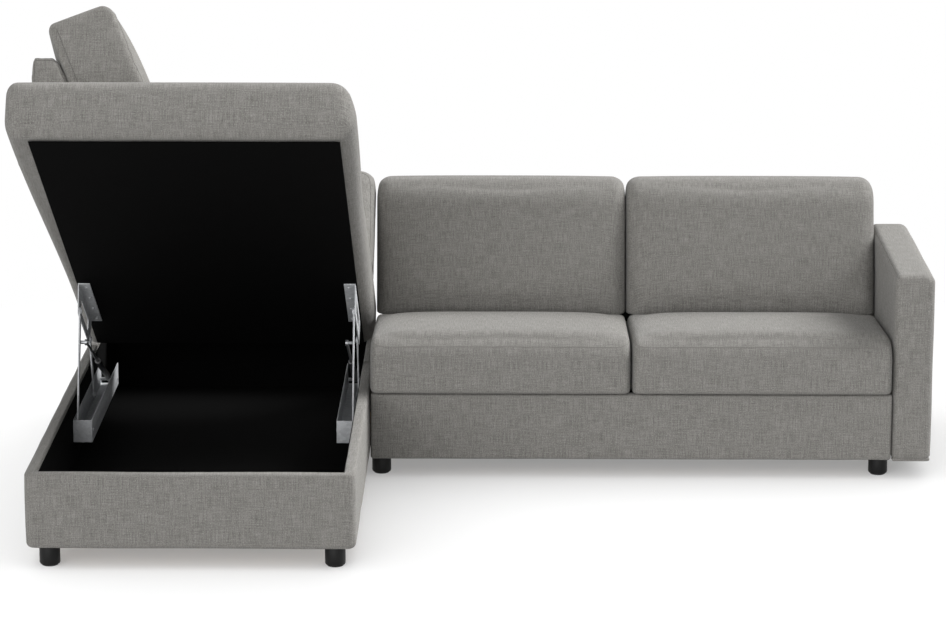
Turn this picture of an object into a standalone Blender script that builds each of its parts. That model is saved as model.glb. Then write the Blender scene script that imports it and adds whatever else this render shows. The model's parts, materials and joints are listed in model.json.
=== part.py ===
"""Sofa bed with a lifting storage chaise, modelled as separate pieces.

Bench frame: x runs right from the chaise's outer side, y runs back from the chaise's
front, z is up from the floor. One root empty carries that frame to the middle of the
footprint. The chaise's top is drawn closed and its empty turns it up to the open pose.
"""

import math

import bmesh
import bpy
from mathutils import Matrix, Vector

# Overall footprint and clearances
WIDTH = 2.483
DEPTH = 1.680
TOUCH = 0.0003
RUNNING_GAP = 0.0006
MERGE = 0.00001
MODULE_GAP = 0.003
SLIDE_GAP = 0.0015

# Legs
LEG_HEIGHT = 0.058
LEG_DIAMETER = 0.055
LEG_CHAMFER = 0.004
LEG_INSET = 0.057
LEG_SIDES = 20

# Chaise base
CHAISE_WIDTH = 0.870
BASE_HEIGHT = 0.205
WALL = 0.030
WALL_EDGE = 0.007
FRONT_CORNER = 0.026
FLOOR_BOARD = 0.012
LINING = 0.003
RIM_FOLD = 0.013

# Chaise top, drawn closed
PAD_HEIGHT = 0.1705
PAD_SETBACK = 0.008
PAD_CROWN = 0.010
PAD_CROWN_AREA = (0.50, 1.0, 0.0, 0.68)
LID_LINING_INSET = 0.034
REST_HEIGHT = 0.600
REST_TOP = 0.067
REST_FOOT = 0.139
REST_ROUND = 0.020
SIDE_REST_SETBACK = 0.270
CUSHION_GAP = 0.004

# Lift fittings, seen from the side: pivots of the closed top
LIFT_ANGLE = math.radians(32.50)
LIFT_POLE_FROM_REAR = 0.1339
LIFT_POLE_HEIGHT = 0.7054
FRONT_PIN_FROM_REAR = 0.531
REAR_PIN_FROM_REAR = 0.280
LIFT_PIN_DROP = 0.076
HOUSING_PIN_HEIGHT = 0.107
HOUSING_FRONT = 0.031
HOUSING_LENGTH = 0.670
HOUSING_WIDTH = 0.054
HOUSING_HEIGHT = 0.065
HOUSING_FOOT = 0.077
HOUSING_SHEET = 0.0025
PIN_RADIUS = 0.005
PIN_PLAY = 0.0003
LINK_THICKNESS = 0.004
LINK_WIDTH = 0.024
LINK_BOSS_RADIUS = 0.008
FULL_ROUND = 0.98
LINK_BOSS_HEIGHT = 0.003
BRACKET_SHEET = 0.003
BRACKET_FLANGE = 0.034
BRACKET_OVERHANG = 0.036
BRACKET_INSET = 0.0014
BRACKET_ROUND = 0.012
WINDOW_MARGIN = 0.036
WINDOW_RISE = 0.024
WINDOW_ROUND = 0.0095
RIVET_HEIGHT = 0.002
GAS_RADIUS = 0.009
GAS_ROD_RADIUS = 0.004
GAS_BORE_PLAY = 0.0004
GAS_LAYER = 0.0285
GAS_ANCHOR_FROM_END = 0.020
GAS_ANCHOR_DROP = 0.010
GAS_ON_LINK = 0.250
GAS_EYE_WIDTH = 0.008
GAS_TUBE_LENGTH = 0.290
GAS_END_WALL = 0.010
GAS_ROD_LENGTH = 0.330

# Sofa body
SOFA_DEPTH = 0.795
ARM_WIDTH = 0.114
ARM_HEIGHT = 0.600
ARM_FROM_REAR = 0.040
ARM_EDGE = 0.008
PANEL_HEIGHT = 0.1935
PANEL = 0.025
PANEL_EDGE = 0.006
SIDE_BOARD = 0.020
SIDE_BOARD_HEIGHT = 0.132
REAR_PANEL = 0.022
REAR_PANEL_HEIGHT = 0.232
STRETCHER_DEPTH = 0.050
STRETCHER_HEIGHT = 0.040
STRETCHER_SETBACK = 0.025
SOFA_LEG_SETBACK = 0.073
SOFA_LEG_INSET = 0.030
TIE_PLATE_WIDTH = 0.080
TIE_PLATE_LENGTH = 0.120
TIE_PLATE_SHEET = 0.0025
TIE_PLATE_FROM_REAR = 0.400

# Pull-out seat
RUNNER_FOOT = 0.092
RUNNER_HEIGHT = 0.035
RUNNER_WIDTH = 0.012
RUNNER_SHEET = 0.002
RUNNER_LENGTH = 0.600
RAIL = 0.020
RAIL_HEIGHT = 0.082
RAIL_EDGE = 0.003
DECK_DEPTH = 0.435
SLAT_COUNT = 4
SLAT_WIDTH = 0.070
SLAT_THICKNESS = 0.010
SLAT_ARC_STEPS = 10
SEAT_OVERHANG = 0.023
SEAT_DEPTH = 0.506
SEAT_FRONT_HEIGHT = 0.178
SEAT_REAR_HEIGHT = 0.132
SEAT_CROWN = 0.012
SEAT_FRONT_CROWN = 0.006

# Drop back, on hinges behind the seat
HINGE_BEHIND_SEAT = 0.022
HINGE_HEIGHT = 0.3525
HINGE_PIN = 0.004
HINGE_SHEET = 0.005
HINGE_INSET = 0.160
HINGE_STRAP = 0.013
HINGE_LEAF = 0.008
HINGE_LEAF_LENGTH = 0.120
STRAP_ARC = (-130, 100)
LEAF_ARC = (-20, 235)
LEDGE = 0.015
LEDGE_FROM_HINGE = 0.0115
BACK_SIDE_CLEARANCE = 0.036
BACK_CUSHION_TOP = 0.748
REAR_CUSHION_TOP = 0.772
BACK_CUSHION_LEAN = 0.098
BACK_CUSHION_REAR_LEAN = 0.091
BACK_CUSHION_CROWN = 0.022
REAR_CUSHION_CROWN = 0.0155
CUSHION_CORNER = 0.055

# Side cushion of the chaise, leaning on the side rest
SIDE_CUSHION_BASE = 0.205
SIDE_CUSHION_TOP_LEFT = (0.041, 0.695)
SIDE_CUSHION_TOP_RIGHT = (0.206, 0.766)
SIDE_CUSHION_LENGTH = 1.060
CUSHION_DRAW_IN = 0.007

# Where the coarse cages of the soft forms are cut, as shares of run, depth and height
CUSHION_CUTS = ((0.05, 0.28, 0.5, 0.72, 0.95), (0.09, 0.36, 0.64, 0.91), (0.16, 0.5, 0.84))
PAD_CUTS = ((0.03, 0.17, 0.41, 0.50, 0.64, 0.80, 0.97),
            (0.016, 0.14, 0.28, 0.42, 0.56, 0.68, 0.78, 0.984), (0.16, 0.5, 0.84))

# Values worked out from the sizes above
BASE_TOP = LEG_HEIGHT + BASE_HEIGHT
PAD_FOOT = BASE_TOP + TOUCH
PAD_TOP = PAD_FOOT + PAD_HEIGHT
CHAISE_INNER = CHAISE_WIDTH - WALL
SOFA_SETBACK = DEPTH - SOFA_DEPTH
SOFA_LEFT = CHAISE_WIDTH + MODULE_GAP
SOFA_RIGHT = WIDTH - ARM_WIDTH - TOUCH
SOFA_MIDDLE = (SOFA_LEFT + SOFA_RIGHT) / 2
SEAT_PLANE = LEG_HEIGHT + PANEL_HEIGHT
POLE = Vector((DEPTH - LIFT_POLE_FROM_REAR, LIFT_POLE_HEIGHT))
HINGE_Y = SOFA_SETBACK - SEAT_OVERHANG + SEAT_DEPTH + HINGE_BEHIND_SEAT
LEDGE_FOOT = HINGE_HEIGHT - LEDGE / 2
HINGE_EYE = LEDGE / 2 - TOUCH
BACK_FOOT_Y = DEPTH - REST_FOOT

FINISHES = {
    "grey_fabric": ((0.36, 0.345, 0.33), 0.92, 0.0),
    "black_lining": ((0.012, 0.012, 0.013), 0.95, 0.0),
    "black_plastic": ((0.015, 0.015, 0.016), 0.45, 0.0),
    "grey_steel": ((0.55, 0.56, 0.57), 0.38, 0.9),
    "birch": ((0.62, 0.47, 0.30), 0.60, 0.0),
}


def clear_scene():
    for old in list(bpy.data.objects):
        bpy.data.objects.remove(old, do_unlink=True)


def new_collection(name):
    collection = bpy.data.collections.new(name)
    bpy.context.scene.collection.children.link(collection)
    return collection


def finish_material(name):
    existing = bpy.data.materials.get(name)
    if existing:
        return existing
    colour, roughness, metallic = FINISHES[name]
    material = bpy.data.materials.new(name)
    material.use_nodes = True
    shader = material.node_tree.nodes["Principled BSDF"]
    shader.inputs["Base Color"].default_value = (*colour, 1.0)
    shader.inputs["Roughness"].default_value = roughness
    shader.inputs["Metallic"].default_value = metallic
    return material


clear_scene()
PARTS = new_collection("sofa_bed_with_chaise")
CUTTERS = new_collection("cutters")
PLACES = {}


def axis_empty(name, place, parent=None, turn=0.0):
    """An empty at a bench point, turned about x; what it carries is drawn unturned."""
    empty = bpy.data.objects.new(name, None)
    PARTS.objects.link(empty)
    empty.location = Vector(place) - (PLACES[parent.name] if parent else Vector())
    empty.rotation_euler.x = turn
    empty.parent = parent
    PLACES[name] = Vector(place) if parent else Vector()
    return empty


def add_part(name, mesh, finish, carrier, place=(0, 0, 0), turn=(0, 0, 0)):
    """Link a mesh as a part, carried by an empty, at a bench point."""
    part = bpy.data.objects.new(name, mesh)
    PARTS.objects.link(part)
    mesh.materials.append(finish_material(finish))
    part.parent = carrier
    part.location = Vector(place) - PLACES[carrier.name]
    part.rotation_euler = turn
    return part


def mesh_from(work, name):
    bmesh.ops.recalc_face_normals(work, faces=work.faces)
    mesh = bpy.data.meshes.new(name)
    work.to_mesh(mesh)
    work.free()
    return mesh


def block_mesh(name, size):
    work = bmesh.new()
    bmesh.ops.create_cube(work, size=1.0, matrix=Matrix.Diagonal((*size, 1.0)))
    return mesh_from(work, name)


def round_mesh(name, radius, length, sides=16):
    """A cylinder along its own z, centred."""
    work = bmesh.new()
    bmesh.ops.create_cone(work, cap_ends=True, segments=sides, radius1=radius,
                          radius2=radius, depth=length)
    mesh = mesh_from(work, name)
    mesh.shade_smooth()
    mesh.set_sharp_from_angle(angle=math.radians(40))
    return mesh


def box(name, low, high, finish, carrier, bevel=0.0, segments=2):
    """A box between two bench corners, with its edges rounded by a bevel."""
    low, high = Vector(low), Vector(high)
    part = add_part(name, block_mesh(name, high - low), finish, carrier, (low + high) / 2)
    if bevel:
        rounding = part.modifiers.new("edges", "BEVEL")
        rounding.width = bevel
        rounding.segments = segments
    return part


def rounded(points, radius, steps=4):
    """An outline with each corner turned into an arc of the given radius."""
    radii = radius if isinstance(radius, (list, tuple)) else [radius] * len(points)
    outline = []
    for i, point in enumerate(points):
        here = Vector(point)
        before = (Vector(points[i - 1]) - here).normalized()
        after = (Vector(points[(i + 1) % len(points)]) - here).normalized()
        if radii[i] <= 0:
            outline.append(here)
            continue
        half = before.angle(after) / 2
        reach = radii[i] / math.tan(half)
        middle = here + (before + after).normalized() * radii[i] / math.sin(half)
        first = here + before * reach - middle
        last = here + after * reach - middle
        sweep = first.angle_signed(last)
        for k in range(steps + 1):
            outline.append(middle + Matrix.Rotation(-sweep * k / steps, 2) @ first)
    return outline


def ring(centre, radius, sides=16):
    turns = [2 * math.pi * i / sides for i in range(sides)]
    return [Vector(centre) + radius * Vector((math.cos(a), math.sin(a))) for a in turns]


def plate_mesh(name, loops, thickness):
    """A flat outline, with any holes as further loops, made a welded mesh."""
    curve = bpy.data.curves.new(name, "CURVE")
    curve.dimensions = "2D"
    curve.fill_mode = "BOTH"
    curve.extrude = thickness / 2
    for loop in loops:
        spline = curve.splines.new("POLY")
        spline.points.add(len(loop) - 1)
        for point, corner in zip(spline.points, loop):
            point.co = (corner[0], corner[1], 0.0, 1.0)
        spline.use_cyclic_u = True
    flat = bpy.data.objects.new(name, curve)
    bpy.context.scene.collection.objects.link(flat)
    drawn = flat.evaluated_get(bpy.context.evaluated_depsgraph_get())
    mesh = bpy.data.meshes.new_from_object(drawn)
    bpy.data.objects.remove(flat, do_unlink=True)
    work = bmesh.new()
    work.from_mesh(mesh)
    bpy.data.meshes.remove(mesh)
    bmesh.ops.remove_doubles(work, verts=work.verts, dist=MERGE)
    return mesh_from(work, name)


ON_X = (math.pi / 2, 0.0, math.pi / 2)
ON_Y = (math.pi / 2, 0.0, 0.0)


def side_plate(name, loops, x_low, x_high, finish, carrier, at=(0.0, 0.0)):
    """A plate drawn in (y, z) about a bench point, standing across x."""
    mesh = plate_mesh(name, loops, x_high - x_low)
    return add_part(name, mesh, finish, carrier, ((x_low + x_high) / 2, *at), ON_X)


def tool(name, kind, part, mesh, place, turn=(0, 0, 0)):
    """A cutter or a joined piece, in the part's own carrier, as a Boolean modifier."""
    helper = bpy.data.objects.new(name, mesh)
    CUTTERS.objects.link(helper)
    helper.hide_render = True
    helper.display_type = "WIRE"
    helper.parent = part.parent
    helper.location = Vector(place) - PLACES[part.parent.name]
    helper.rotation_euler = turn
    cut = part.modifiers.new(name, "BOOLEAN")
    cut.operation = kind
    cut.object = helper
    return helper


def swell(t):
    """Nought at both ends of 0 to 1, and one in the middle."""
    return 4.0 * t * (1.0 - t) if 0.0 < t < 1.0 else 0.0


def soften_corner(u, w, length, height, radius):
    """Pull a point near an upper corner in to an arc; u and w are shares of length and height."""
    across = min(u, 1.0 - u) * length
    down = (1.0 - w) * height
    if across >= radius or down >= radius:
        return u, w
    reach = Vector((radius - across, radius - down))
    if reach.length > radius:
        reach *= radius / reach.length
    across = (radius - reach.x) / length
    return (across if u < 0.5 else 1.0 - across), 1.0 - (radius - reach.y) / height


def cushion(name, section, run, across, carrier, top=0.0, front=0.0, area=(0, 1, 0, 1),
            draw=CUSHION_DRAW_IN, corner=0.0, cuts=CUSHION_CUTS):
    """A soft form from a coarse cage and a subdivision.

    section: lower front, lower rear, upper rear and upper front points, as (depth, z).
    run: start and end along the other level axis. across: True where that axis is x.
    top, front: crowns. area: where the top crown lies, as shares of run and depth.
    corner: radius of the upper corners, seen from the front.
    """
    work = bmesh.new()
    bmesh.ops.create_cube(work, size=1.0, matrix=Matrix.Translation((0.5, 0.5, 0.5)))
    for axis, shares in enumerate(cuts):
        normal = Vector([float(i == axis) for i in range(3)])
        for share in shares:
            every = work.verts[:] + work.edges[:] + work.faces[:]
            bmesh.ops.bisect_plane(work, geom=every, plane_co=normal * share, plane_no=normal)
    low_front, low_rear, top_rear, top_front = [Vector(p) for p in section]
    length, height = abs(run[1] - run[0]), (top_front - low_front).length
    for vert in work.verts:
        u, v, w = vert.co
        u, w = soften_corner(u, w, length, height, corner)
        deep = low_front.lerp(low_rear, v).lerp(top_front.lerp(top_rear, v), w)
        in_area = swell((u - area[0]) / (area[1] - area[0]))
        in_area *= swell((v - area[2]) / (area[3] - area[2]))
        depth = deep.x - front * swell(u) * swell(w) * (1.0 - v)
        depth += draw * (1.0 - 2.0 * v) * swell(u) * w
        level = deep.y + top * in_area * w
        along = run[0] + (run[1] - run[0]) * u + draw * (1.0 - 2.0 * u) * swell(v) * swell(w)
        vert.co = (along, depth, level) if across else (depth, along, level)
    middle = sum((vert.co for vert in work.verts), Vector()) / len(work.verts)
    bmesh.ops.translate(work, verts=work.verts, vec=-middle)
    mesh = mesh_from(work, name)
    mesh.shade_smooth()
    part = add_part(name, mesh, "grey_fabric", carrier, middle)
    smooth = part.modifiers.new("soft", "SUBSURF")
    smooth.levels = 1
    smooth.render_levels = 1
    return part


def leg(name, x, y, carrier):
    """A turned plastic leg whose top meets the underside of the base."""
    radius = LEG_DIAMETER / 2
    top = LEG_HEIGHT - TOUCH
    profile = [(0.0, top), (radius, top), (radius, LEG_CHAMFER), (radius - LEG_CHAMFER, 0.0),
               (0.0, 0.0)]
    work = bmesh.new()
    points = [work.verts.new((r, 0.0, z)) for r, z in profile]
    for upper, lower in zip(points, points[1:]):
        work.edges.new((upper, lower))
    mesh = bpy.data.meshes.new(name)
    work.to_mesh(mesh)
    work.free()
    part = add_part(name, mesh, "black_plastic", carrier, (x, y, 0.0))
    turned = part.modifiers.new("turned", "SCREW")
    turned.steps = LEG_SIDES
    turned.render_steps = LEG_SIDES
    turned.use_merge_vertices = True
    turned.merge_threshold = MERGE
    return part


def chaise_base(root):
    """Upholstered walls, lined floor and legs of the storage box."""
    high = BASE_TOP
    front = rounded([(0, 0), (CHAISE_WIDTH, 0), (CHAISE_WIDTH, WALL), (0, WALL)],
                    [FRONT_CORNER, FRONT_CORNER, 0, 0], steps=5)
    mesh = plate_mesh("chaise_front_wall", [front], BASE_HEIGHT)
    add_part("chaise_front_wall", mesh, "grey_fabric", root, (0, 0, LEG_HEIGHT + BASE_HEIGHT / 2))
    back_of_front = WALL + TOUCH
    front_of_rear = DEPTH - WALL - TOUCH
    walls = {
        "chaise_left_wall": ((0, back_of_front), (WALL, front_of_rear)),
        "chaise_right_wall": ((CHAISE_INNER, back_of_front), (CHAISE_WIDTH, front_of_rear)),
        "chaise_rear_wall": ((0, DEPTH - WALL), (CHAISE_WIDTH, DEPTH)),
    }
    for name, (low, top) in walls.items():
        box(name, (*low, LEG_HEIGHT), (*top, high), "grey_fabric", root, WALL_EDGE)
    inner_low = Vector((WALL + TOUCH, back_of_front))
    inner_high = Vector((CHAISE_INNER - TOUCH, front_of_rear))
    board_top = LEG_HEIGHT + FLOOR_BOARD
    box("storage_floor", (*inner_low, LEG_HEIGHT), (*inner_high, board_top), "birch", root)
    tray_low = Vector((*inner_low, board_top + TOUCH))
    storage_liner(tray_low, Vector((*inner_high, high - RIM_FOLD)), root)
    sides = {"left": LEG_INSET, "right": CHAISE_WIDTH - LEG_INSET}
    ends = {"front": LEG_INSET, "rear": DEPTH - LEG_INSET}
    for end, y in ends.items():
        for side, x in sides.items():
            leg(f"chaise_leg_{end}_{side}", x, y, root)


def storage_liner(low, high, root):
    """A thin open tray of lining board, made from a box without its top."""
    mesh = block_mesh("storage_liner", high - low)
    work = bmesh.new()
    work.from_mesh(mesh)
    lids = [face for face in work.faces if face.normal.z > 0.5]
    bmesh.ops.delete(work, geom=lids, context="FACES")
    work.to_mesh(mesh)
    work.free()
    tray = add_part("storage_liner", mesh, "black_lining", root, (low + high) / 2)
    sheet = tray.modifiers.new("sheet", "SOLIDIFY")
    sheet.thickness = LINING
    sheet.offset = -1.0
    sheet.use_even_offset = True


def opened(point):
    """Where a (y, z) point of the closed top goes when the top is open."""
    return POLE + Matrix.Rotation(-LIFT_ANGLE, 2) @ (Vector(point) - POLE)


def ground_pivot(closed, height):
    """The point at a height that is equally far from a pin's closed and open places."""
    start, end = Vector(closed), opened(closed)
    level = ((start.x ** 2 - end.x ** 2) + (start.y - height) ** 2 - (end.y - height) ** 2)
    return Vector((level / (2 * (start.x - end.x)), height))


def turn_of(run):
    return math.atan2(run.y, run.x)


PIN_LEVEL = PAD_FOOT - LIFT_PIN_DROP
FRONT_PIN = Vector((DEPTH - FRONT_PIN_FROM_REAR, PIN_LEVEL))
REAR_PIN = Vector((DEPTH - REAR_PIN_FROM_REAR, PIN_LEVEL))
HOUSING_PIN_LEVEL = LEG_HEIGHT + HOUSING_PIN_HEIGHT
FRONT_PIVOT = ground_pivot(FRONT_PIN, HOUSING_PIN_LEVEL)
REAR_PIVOT = ground_pivot(REAR_PIN, HOUSING_PIN_LEVEL)
HOUSING_START = FRONT_PIVOT.x - HOUSING_FRONT
HOUSING_END = HOUSING_START + HOUSING_LENGTH
GAS_ANCHOR = Vector((HOUSING_END - GAS_ANCHOR_FROM_END, HOUSING_PIN_LEVEL - GAS_ANCHOR_DROP))
FRONT_LINK_RUN = opened(FRONT_PIN) - FRONT_PIVOT
GAS_PIN = FRONT_PIVOT + FRONT_LINK_RUN.normalized() * GAS_ON_LINK


def link_plate(name, length, x_low, inward, carrier):
    """A flat bar from its pivot along its own y, with an eye and a riveted far end."""
    half = LINK_WIDTH / 2
    bar = rounded([(-half, -half), (length + half, -half), (length + half, half), (-half, half)],
                  half * FULL_ROUND, steps=5)
    pivot = PLACES[carrier.name]
    eye = ring((0, 0), PIN_RADIUS + PIN_PLAY)
    plate = side_plate(name, [bar, eye], x_low, x_low + LINK_THICKNESS, "grey_steel", carrier, pivot.yz)
    reach = LINK_THICKNESS / 2 + LINK_BOSS_HEIGHT
    centre = x_low + LINK_THICKNESS / 2 + inward * reach / 2
    rivet = round_mesh(name + "_rivet", LINK_BOSS_RADIUS, reach)
    tool(name + "_rivet", "UNION", plate, rivet, (centre, pivot.y + length, pivot.z),
         (0, math.pi / 2, 0))
    return plate


def gas_spring(side, x, inward, link_face, root):
    """Tube on the housing and rod to the front link; the rod slides in the tube's bore."""
    run = GAS_PIN - GAS_ANCHOR
    axis = axis_empty(f"gas_spring_{side}_axis", (x, *GAS_ANCHOR), root, turn_of(run))
    along = (-math.pi / 2, 0, 0)
    across = (0, math.pi / 2, 0)
    start = GAS_RADIUS
    end = start + GAS_TUBE_LENGTH
    tube_mesh = round_mesh("gas_tube", GAS_RADIUS, GAS_TUBE_LENGTH)
    tube = add_part(f"gas_tube_{side}", tube_mesh, "black_plastic", axis,
                    (x, GAS_ANCHOR.x + (start + end) / 2, GAS_ANCHOR.y), along)
    eye = round_mesh("gas_eye", GAS_RADIUS + PIN_PLAY, GAS_EYE_WIDTH)
    tool(f"gas_eye_{side}", "UNION", tube, eye, (x, *GAS_ANCHOR), across)
    hole = round_mesh("gas_hole", PIN_RADIUS + PIN_PLAY, 2 * GAS_EYE_WIDTH)
    tool(f"gas_hole_{side}", "DIFFERENCE", tube, hole, (x, *GAS_ANCHOR), across)
    bore_start = start + GAS_END_WALL
    bore_length = end - bore_start + GAS_RADIUS
    bore = round_mesh("gas_bore", GAS_ROD_RADIUS + GAS_BORE_PLAY, bore_length)
    tool(f"gas_bore_{side}", "DIFFERENCE", tube, bore,
         (x, GAS_ANCHOR.x + bore_start + bore_length / 2, GAS_ANCHOR.y), along)
    tip = GAS_ANCHOR.x + run.length
    rod_mesh = round_mesh("gas_rod", GAS_ROD_RADIUS, GAS_ROD_LENGTH)
    rod = add_part(f"gas_rod_{side}", rod_mesh, "grey_steel", axis,
                   (x, tip - GAS_ROD_LENGTH / 2, GAS_ANCHOR.y), along)
    head = round_mesh("gas_rod_eye", GAS_RADIUS, GAS_EYE_WIDTH)
    tool(f"gas_rod_eye_{side}", "UNION", rod, head, (x, tip, GAS_ANCHOR.y), across)
    near = link_face + inward * TOUCH
    stud = round_mesh("gas_stud", PIN_RADIUS, abs(x - near))
    tool(f"gas_stud_{side}", "UNION", rod, stud, ((x + near) / 2, tip, GAS_ANCHOR.y), across)


def housing(side, span, root):
    """A folded steel trough, closed at the front, with its riveted cross pins."""
    low, high = span(0.0, HOUSING_WIDTH)
    foot = LEG_HEIGHT + HOUSING_FOOT
    top = foot + HOUSING_HEIGHT
    shell = box(f"lift_housing_{side}", (low, HOUSING_START, foot), (high, HOUSING_END, top),
                "grey_steel", root)
    pocket = (HOUSING_WIDTH - 2 * HOUSING_SHEET, HOUSING_LENGTH, HOUSING_HEIGHT)
    middle = ((low + high) / 2, (HOUSING_START + HOUSING_END) / 2 + HOUSING_SHEET,
              (foot + top) / 2 + HOUSING_SHEET)
    tool(f"housing_pocket_{side}", "DIFFERENCE", shell, block_mesh("pocket", pocket), middle)
    across = (0, math.pi / 2, 0)
    stub = HOUSING_SHEET + BRACKET_INSET + BRACKET_SHEET + LINK_THICKNESS + LINK_BOSS_HEIGHT
    through = HOUSING_WIDTH + RIVET_HEIGHT
    for name, place, reach in (("front", FRONT_PIVOT, through), ("rear", REAR_PIVOT, stub),
                               ("gas", GAS_ANCHOR, through)):
        pin_low, pin_high = span(HOUSING_SHEET / 2, reach)
        pin = round_mesh("housing_pin", PIN_RADIUS, pin_high - pin_low)
        tool(f"housing_{name}_pin_{side}", "UNION", shell, pin, ((pin_low + pin_high) / 2, *place), across)


def bracket(side, span, lid):
    """A plate with two pivot ears and a window, folded over under the seat pad."""
    first = HOUSING_SHEET + BRACKET_INSET
    plate_low, plate_high = span(first, first + BRACKET_SHEET)
    lip = PAD_FOOT - LINING - 2 * TOUCH
    start, end = FRONT_PIN.x - BRACKET_OVERHANG, REAR_PIN.x + BRACKET_OVERHANG
    ear = BRACKET_ROUND
    level = PIN_LEVEL - ear
    outline = rounded([(start, lip), (FRONT_PIN.x - ear, level), (REAR_PIN.x + ear, level), (end, lip)],
                      [0, ear, ear, 0])
    window_start, window_end = FRONT_PIN.x + WINDOW_MARGIN, REAR_PIN.x - WINDOW_MARGIN
    window_foot, window_top = level + WINDOW_RISE, lip - WINDOW_RISE
    window = rounded([(window_start, window_foot), (window_end, window_foot),
                      (window_end, window_top), (window_start, window_top)], WINDOW_ROUND)
    plate = side_plate(f"lift_bracket_{side}", [outline, window], plate_low, plate_high, "grey_steel", lid)
    edge_low, edge_high = span(first, first + BRACKET_FLANGE)
    flange = (edge_high - edge_low, end - start, BRACKET_SHEET)
    tool(f"bracket_flange_{side}", "UNION", plate, block_mesh("flange", flange),
         ((edge_low + edge_high) / 2, (start + end) / 2, lip - BRACKET_SHEET / 2))


def lift_fittings(root, lid):
    """A housing, two links, a bracket and a gas spring on each side of the box."""
    left_wall = WALL + LINING + 2 * TOUCH
    right_wall = CHAISE_INNER - LINING - 2 * TOUCH
    for side, wall, inward in (("left", left_wall, 1), ("right", right_wall, -1)):
        def span(first, last, wall=wall, inward=inward):
            return sorted((wall + inward * first, wall + inward * last))

        housing(side, span, root)
        bracket(side, span, lid)
        link_start = HOUSING_SHEET + BRACKET_INSET + BRACKET_SHEET + TOUCH
        link_low, _ = span(link_start, link_start + LINK_THICKNESS)
        for name, pivot, pin in (("front", FRONT_PIVOT, FRONT_PIN), ("rear", REAR_PIVOT, REAR_PIN)):
            run = opened(pin) - pivot
            axis = axis_empty(f"{name}_link_{side}_axis", (link_low, *pivot), root, turn_of(run))
            link_plate(f"{name}_link_{side}", run.length, link_low, inward, axis)
        link_face = wall + inward * (link_start + LINK_THICKNESS)
        gas_spring(side, wall + inward * GAS_LAYER, inward, link_face, root)


def chaise_top(lid):
    """Seat pad, its lining, both rests and both loose cushions, drawn closed."""
    section = [(PAD_SETBACK, PAD_FOOT), (DEPTH, PAD_FOOT), (DEPTH, PAD_TOP), (PAD_SETBACK, PAD_TOP)]
    cushion("chaise_seat_pad", section, (0.0, CHAISE_WIDTH), True, lid, top=PAD_CROWN,
            area=PAD_CROWN_AREA, draw=0.0, cuts=PAD_CUTS)
    edge = LID_LINING_INSET
    box("lid_lining", (edge, PAD_SETBACK + edge, PAD_FOOT - TOUCH - LINING),
        (CHAISE_WIDTH - edge, DEPTH - edge, PAD_FOOT - TOUCH), "black_lining", lid)
    foot = PAD_TOP + TOUCH
    side_outline = rounded([(0, foot), (REST_FOOT, foot), (REST_TOP, REST_HEIGHT), (0, REST_HEIGHT)],
                           [0, 0, REST_ROUND, REST_ROUND / 2])
    length = DEPTH - SIDE_REST_SETBACK
    mesh = plate_mesh("side_backrest", [side_outline], length)
    add_part("side_backrest", mesh, "grey_fabric", lid, (0, SIDE_REST_SETBACK + length / 2, 0), ON_Y)
    rear_outline = rounded([(BACK_FOOT_Y, foot), (DEPTH, foot), (DEPTH, REST_HEIGHT),
                            (DEPTH - REST_TOP, REST_HEIGHT)], [0, 0, REST_ROUND / 2, REST_ROUND])
    side_plate("rear_backrest", [rear_outline], REST_FOOT + TOUCH, CHAISE_WIDTH, "grey_fabric", lid)
    foot += TOUCH
    base_left = REST_FOOT + TOUCH
    base_right = base_left + SIDE_CUSHION_BASE
    start = SIDE_REST_SETBACK + CUSHION_GAP
    side = [(base_right, foot), (base_left, foot), SIDE_CUSHION_TOP_LEFT, SIDE_CUSHION_TOP_RIGHT]
    cushion("side_cushion", side, (start, start + SIDE_CUSHION_LENGTH), False, lid,
            front=-BACK_CUSHION_CROWN, corner=CUSHION_CORNER)
    rear = back_cushion_section(foot, REAR_CUSHION_TOP)
    cushion("rear_cushion", rear, (REST_FOOT + 2 * CUSHION_GAP, CHAISE_WIDTH - CUSHION_GAP), True, lid,
            front=REAR_CUSHION_CROWN, corner=CUSHION_CORNER)


def back_cushion_section(foot, top):
    """Section of a back cushion that stands between two heights and leans on a rest."""
    front_y = HINGE_Y - LEDGE_FROM_HINGE
    rear_low = BACK_FOOT_Y - TOUCH
    rear_high = rear_low + BACK_CUSHION_REAR_LEAN
    return [(front_y, foot), (rear_low, foot), (rear_high, top),
            (front_y + BACK_CUSHION_LEAN, top)]


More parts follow.
